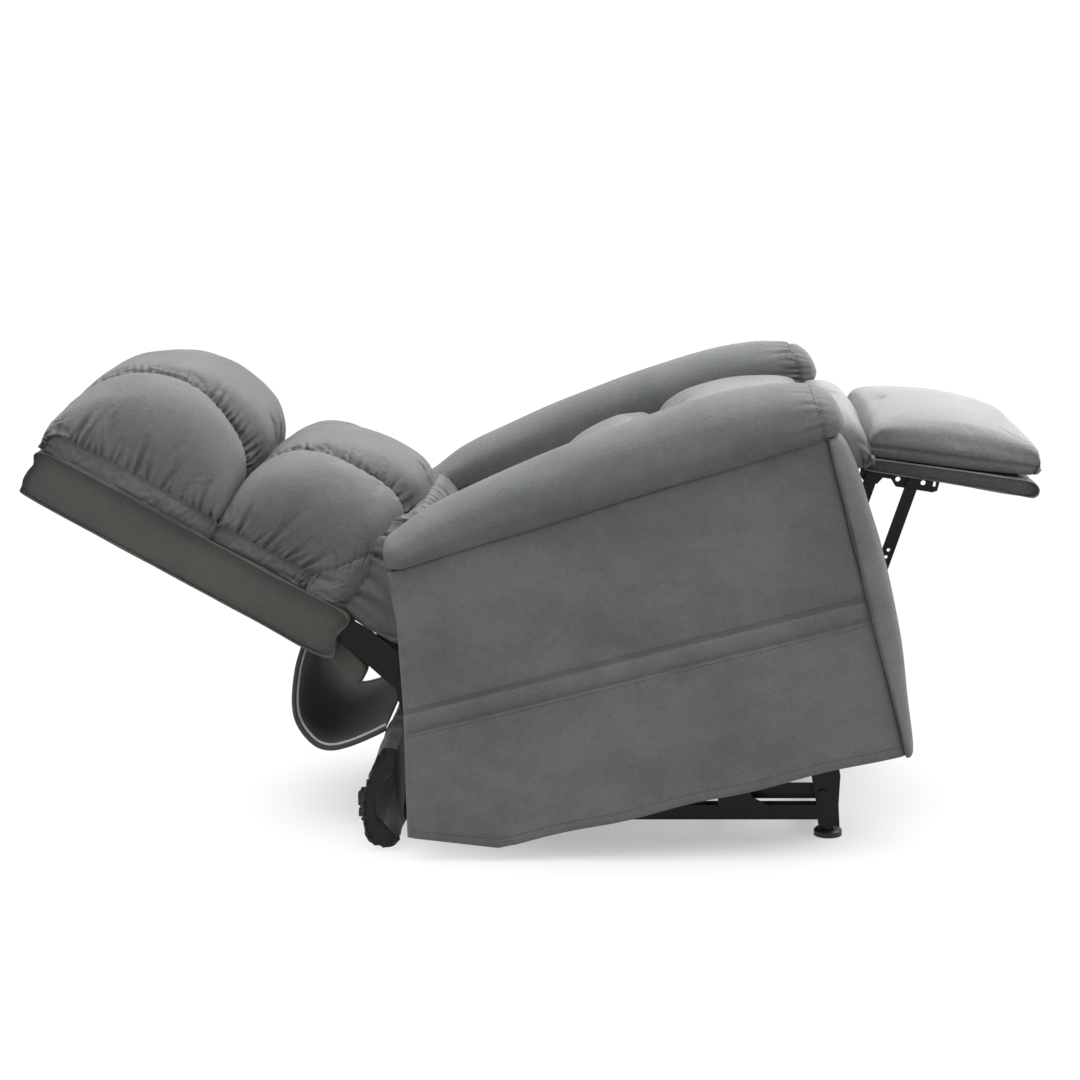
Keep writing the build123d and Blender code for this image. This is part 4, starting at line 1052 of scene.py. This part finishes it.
PAD_SHARES = ((-275, 0.34), (-273, 0.62), (-258, 0.80), (-196, 0.90), (-90, 0.985))
rows = mirrored([(-264, PAD_FOOT), (-271, PAD_SEAM),
                 *[(y, between(PAD_SEAM, PAD_TOP, share)) for y, share in PAD_SHARES], (0, PAD_TOP)])
grid, marks, ends = surface(across(pad_xz, rows), (1, 13), (1, 10), 0.0075)
grid = stuff(grid, pins_at(grid, rows=marks[1:-1]), pressure=1.4, cap=0.004, slack=0.0)
grid = finer(grid)
sink = drift(grid, 0.0006, 0.25, 101)
for m in marks[1:-1]:
    sink += seam(grid, 2 * m, 0, 0.003, 0.004, 0.0012, 0.03, 0.02, (1, 1), 103)
sink += seam(grid, 2 * ends[2], 1, 0.0025, 0.004)
grid = press(grid, sink)
# The pad takes the lighter copy of the leather, which paints the light on its top.
footrest_pad = grid_object("footrest_pad_cover", grid, LIT_TOPS_LEATHER)
for m in marks[1:-1]:
    stitch("footrest", grid[2 * m + (1 if m < 60 else -1), 6:-6])
dress(footrest_pad, "footrest", ["footrest_pad"])

BOARD = [(-16, 20), (-12, 12), (40, 10.5), (122, 9.5), (200, 7.4), (268, 5.4), (281, 7.5), (286, 17), (281, 27),
         (262, 32.5), (180, 33.5), (80, 32.5), (-8, 30)]
net = across(pad_xz, rings(BOARD, (134, 20), 272, 5))
grid, _, _ = surface(net, (6, 8), (), 0.009, wrap=True)
grid = finer(grid, wrap=True)
grid = press(grid, drift(grid, 0.0009, 0.1, 111), wrap=True)
dress(grid_object("footrest_board_cover", grid, LEATHER, wrap=True), "footrest", ["footrest_board"])

# %% [markdown]
# ## Rear cloth
# A lined cloth hangs in a loop between the back and the base so that nothing is caught when the back
# comes down. It is a thin sheet with a piped hem on both sides and a paler binding inside the hem.

# %% Rear cloth
SLING = [(-334, 446), (-362, 400), (-384, 343), (-387, 302), (-371, 263), (-346, 245), (-309, 243), (-262, 250),
         (-236, 256)]
CLOTH_THICK = 0.0035
APRON = [(147.4, 562), (149.9, 502), (130, 470), (94, 436), (54, 392), (-20, 374), (-92, 358)]


def cloth_sheet(name, node, line, half, body, seed, sag):
    """A sheet with its two faces: the object, outer and inner points, and the length of its cut."""
    line = np.array(line, float)
    widths = np.linspace(-half, half, 9)
    net = across(body_xz, [(y, line) for y in widths])
    grid, _, _ = surface(net, (), (), 0.009)
    grid = finer(grid)
    n = grid_normals(grid)
    w = np.linspace(-1, 1, grid.shape[0])[:, None]
    a = np.linspace(0, 1, grid.shape[1])[None, :]
    rng = np.random.default_rng(seed)
    wave = sum(rng.uniform(0.3, 1) * np.sin(w * rng.uniform(3, 9) + a * rng.uniform(-3, 3) + rng.uniform(0, 6))
               for _ in range(5)) / 3
    grid = grid + n * (sag * wave * np.sin(np.pi * a) * (1 - np.abs(w) ** 6))[..., None]
    inner = grid - n * CLOTH_THICK
    whole = np.concatenate([grid, inner[::-1], grid[:1]])
    obj = grid_object(name, whole, FINISHES["dark_cloth"])
    dress(obj, body, [node])
    run = float(np.linalg.norm(np.diff(net[4], axis=0), axis=1).sum())
    print(name, "cut", round(2 * half / 1000, 3), "by", round(run, 3))
    return obj, grid, inner, run


sling, sling_face, sling_inner, sling_run = cloth_sheet("rear_cloth", "rear_sling", SLING, 244, "back", 121, 0.004)
apron, _, _, apron_run = cloth_sheet("seat_apron_cloth", "seat_apron", APRON, 281, "seat_body", 125, 0.003)

# %% [markdown]
# ## Base cover
# The base's rear crossbar wears a slack cloth boot. It has a swollen lower rim, a flat back, and
# creases where the cloth is pulled round the corners.

# %% Base cover
BOOT = [(-229.5, 22), (-238, 12), (-250, 7), (-280, 17), (-289, 40), (-290, 92), (-277, 140), (-256, 184),
        (-240, 189), (-229.5, 186)]
rows = mirrored([(-357, [(-236, 60), (-240, 55), (-248, 52), (-262, 58), (-268, 66), (-268, 96), (-262, 126),
                         (-250, 140), (-242, 142), (-236, 140)]),
                 (-363, squeezed(BOOT, 100, 0.93)), (-352, BOOT), (-180,
                         [(x - (3 if x < -250 else 0), z) for x, z in BOOT]), (0, BOOT)])
grid, marks, ends = surface(across(floor_xz, rows), (), (3,), 0.009)
grid = finer(grid)
sink = drift(grid, 0.0022, 0.09, 131)
sink += seam(grid, 2 * ends[1], 1, 0.003, 0.006, 0.005, 0.03, 0.05, (1, 1), 133)
sink += seam(grid, 2 * marks[0] + 8, 0, 0.001, 0.005, 0.005, 0.028, 0.07, (0, 1), 135)
grid = press(grid, sink)
dress(grid_object("base_cover_cloth", grid, FINISHES["cover_cloth"]), "base", ["rear_cover"])

# %% [markdown]
# ## Piping and stitches
# Piping is a cord in a sleeve along a hem. Stitches are a few hundred short threads in rows beside the
# seams. Both follow a line, so one node tree lays both: it turns the line into a tube, or it
# resamples the line, sets a short rod at each point along it, and makes the rods real.

# %% Node tree for lines of thread


def line_tree(name, material, stitches):
    tree = bpy.data.node_groups.new(name, "GeometryNodeTree")
    face = tree.interface
    face.new_socket("Geometry", in_out="INPUT", socket_type="NodeSocketGeometry")
    face.new_socket("Geometry", in_out="OUTPUT", socket_type="NodeSocketGeometry")
    sockets = {}
    for label, value in (("Spacing", 0.0062), ("Length", 0.0046), ("Radius", 0.0005)):
        item = face.new_socket(label, in_out="INPUT", socket_type="NodeSocketFloat")
        item.default_value = value
        sockets[label] = item.identifier
    add, link = tree.nodes.new, tree.links.new
    inlet, outlet = add("NodeGroupInput"), add("NodeGroupOutput")
    realize, paint = add("GeometryNodeRealizeInstances"), add("GeometryNodeSetMaterial")
    paint.inputs["Material"].default_value = material
    if stitches:
        spread, rod = add("GeometryNodeResampleCurve"), add("GeometryNodeMeshCylinder")
        tangent, turn = add("GeometryNodeInputTangent"), add("FunctionNodeAlignRotationToVector")
        place = add("GeometryNodeInstanceOnPoints")
        spread.mode, turn.axis = "LENGTH", "Z"
        rod.inputs["Vertices"].default_value = 6
        joins = [(inlet, "Geometry", spread, "Curve"), (inlet, "Spacing", spread, "Length"),
                 (inlet, "Radius", rod, "Radius"), (inlet, "Length", rod, "Depth"),
                 (tangent, "Tangent", turn, "Vector"), (spread, "Curve", place, "Points"),
                 (rod, "Mesh", place, "Instance"), (turn, "Rotation", place, "Rotation"),
                 (place, "Instances", realize, "Geometry")]
    else:
        ring, tube = add("GeometryNodeCurvePrimitiveCircle"), add("GeometryNodeCurveToMesh")
        ring.inputs["Resolution"].default_value = 10
        tube.inputs["Fill Caps"].default_value = True
        joins = [(inlet, "Radius", ring, "Radius"), (inlet, "Geometry", tube, "Curve"),
                 (ring, "Curve", tube, "Profile Curve"), (tube, "Mesh", realize, "Geometry")]
    for source, out_label, target, in_label in joins:
        link(source.outputs[out_label], target.inputs[in_label])
    link(realize.outputs["Geometry"], paint.inputs["Geometry"])
    link(paint.outputs["Geometry"], outlet.inputs["Geometry"])
    return tree, sockets


STITCHING, STITCH_SOCKETS = line_tree("stitch_line", THREAD, True)
CORDING, CORD_SOCKETS = line_tree("piping_line", PIPING, False)
BOUND, BOUND_SOCKETS = line_tree("binding_line", BINDING, False)


def sewn(name, lines, tree, sockets, **sizes):
    """A plain mesh made by a thread tree along the given lines."""
    curve = bpy.data.curves.new(name, "CURVE")
    curve.dimensions = "3D"
    for points, closed in lines:
        path = curve.splines.new("POLY")
        path.points.add(len(points) - 1)
        path.points.foreach_set("co", np.c_[points, np.ones(len(points))].reshape(-1))
        path.use_cyclic_u = closed
    source = placed(name + "_lines", curve)
    modifier = source.modifiers.new("thread", "NODES")
    modifier.node_group = tree
    for label, value in sizes.items():
        modifier[sockets[label]] = value
    made = bpy.data.meshes.new_from_object(source.evaluated_get(bpy.context.evaluated_depsgraph_get()))
    source.modifiers.remove(modifier)
    bpy.data.objects.remove(source)
    made.name = name
    obj = placed(name, made)
    for polygon in made.polygons:
        polygon.use_smooth = True
    print(name, len(made.polygons), "faces")
    return obj


# %% Stitches and piping
for body, lines in stitch_rows.items():
    obj = sewn(f"stitches_{body}", lines, STITCHING, STITCH_SOCKETS, Spacing=0.0062, Length=0.0044, Radius=0.00045)
    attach(obj, body)
for side, row, step in (("right", 0, 1), ("left", -1, -1)):
    cord = sewn(f"hem_piping_{side}", [(sling_face[row], False)], CORDING, CORD_SOCKETS, Radius=0.0042)
    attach(cord, "back")
    inner_edge = 0.5 * (sling_inner[row + 2 * step] + sling_inner[row + 3 * step])
    tape = sewn(f"hem_binding_{side}", [(inner_edge, False)], BOUND, BOUND_SOCKETS, Radius=0.0034)
    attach(tape, "back")
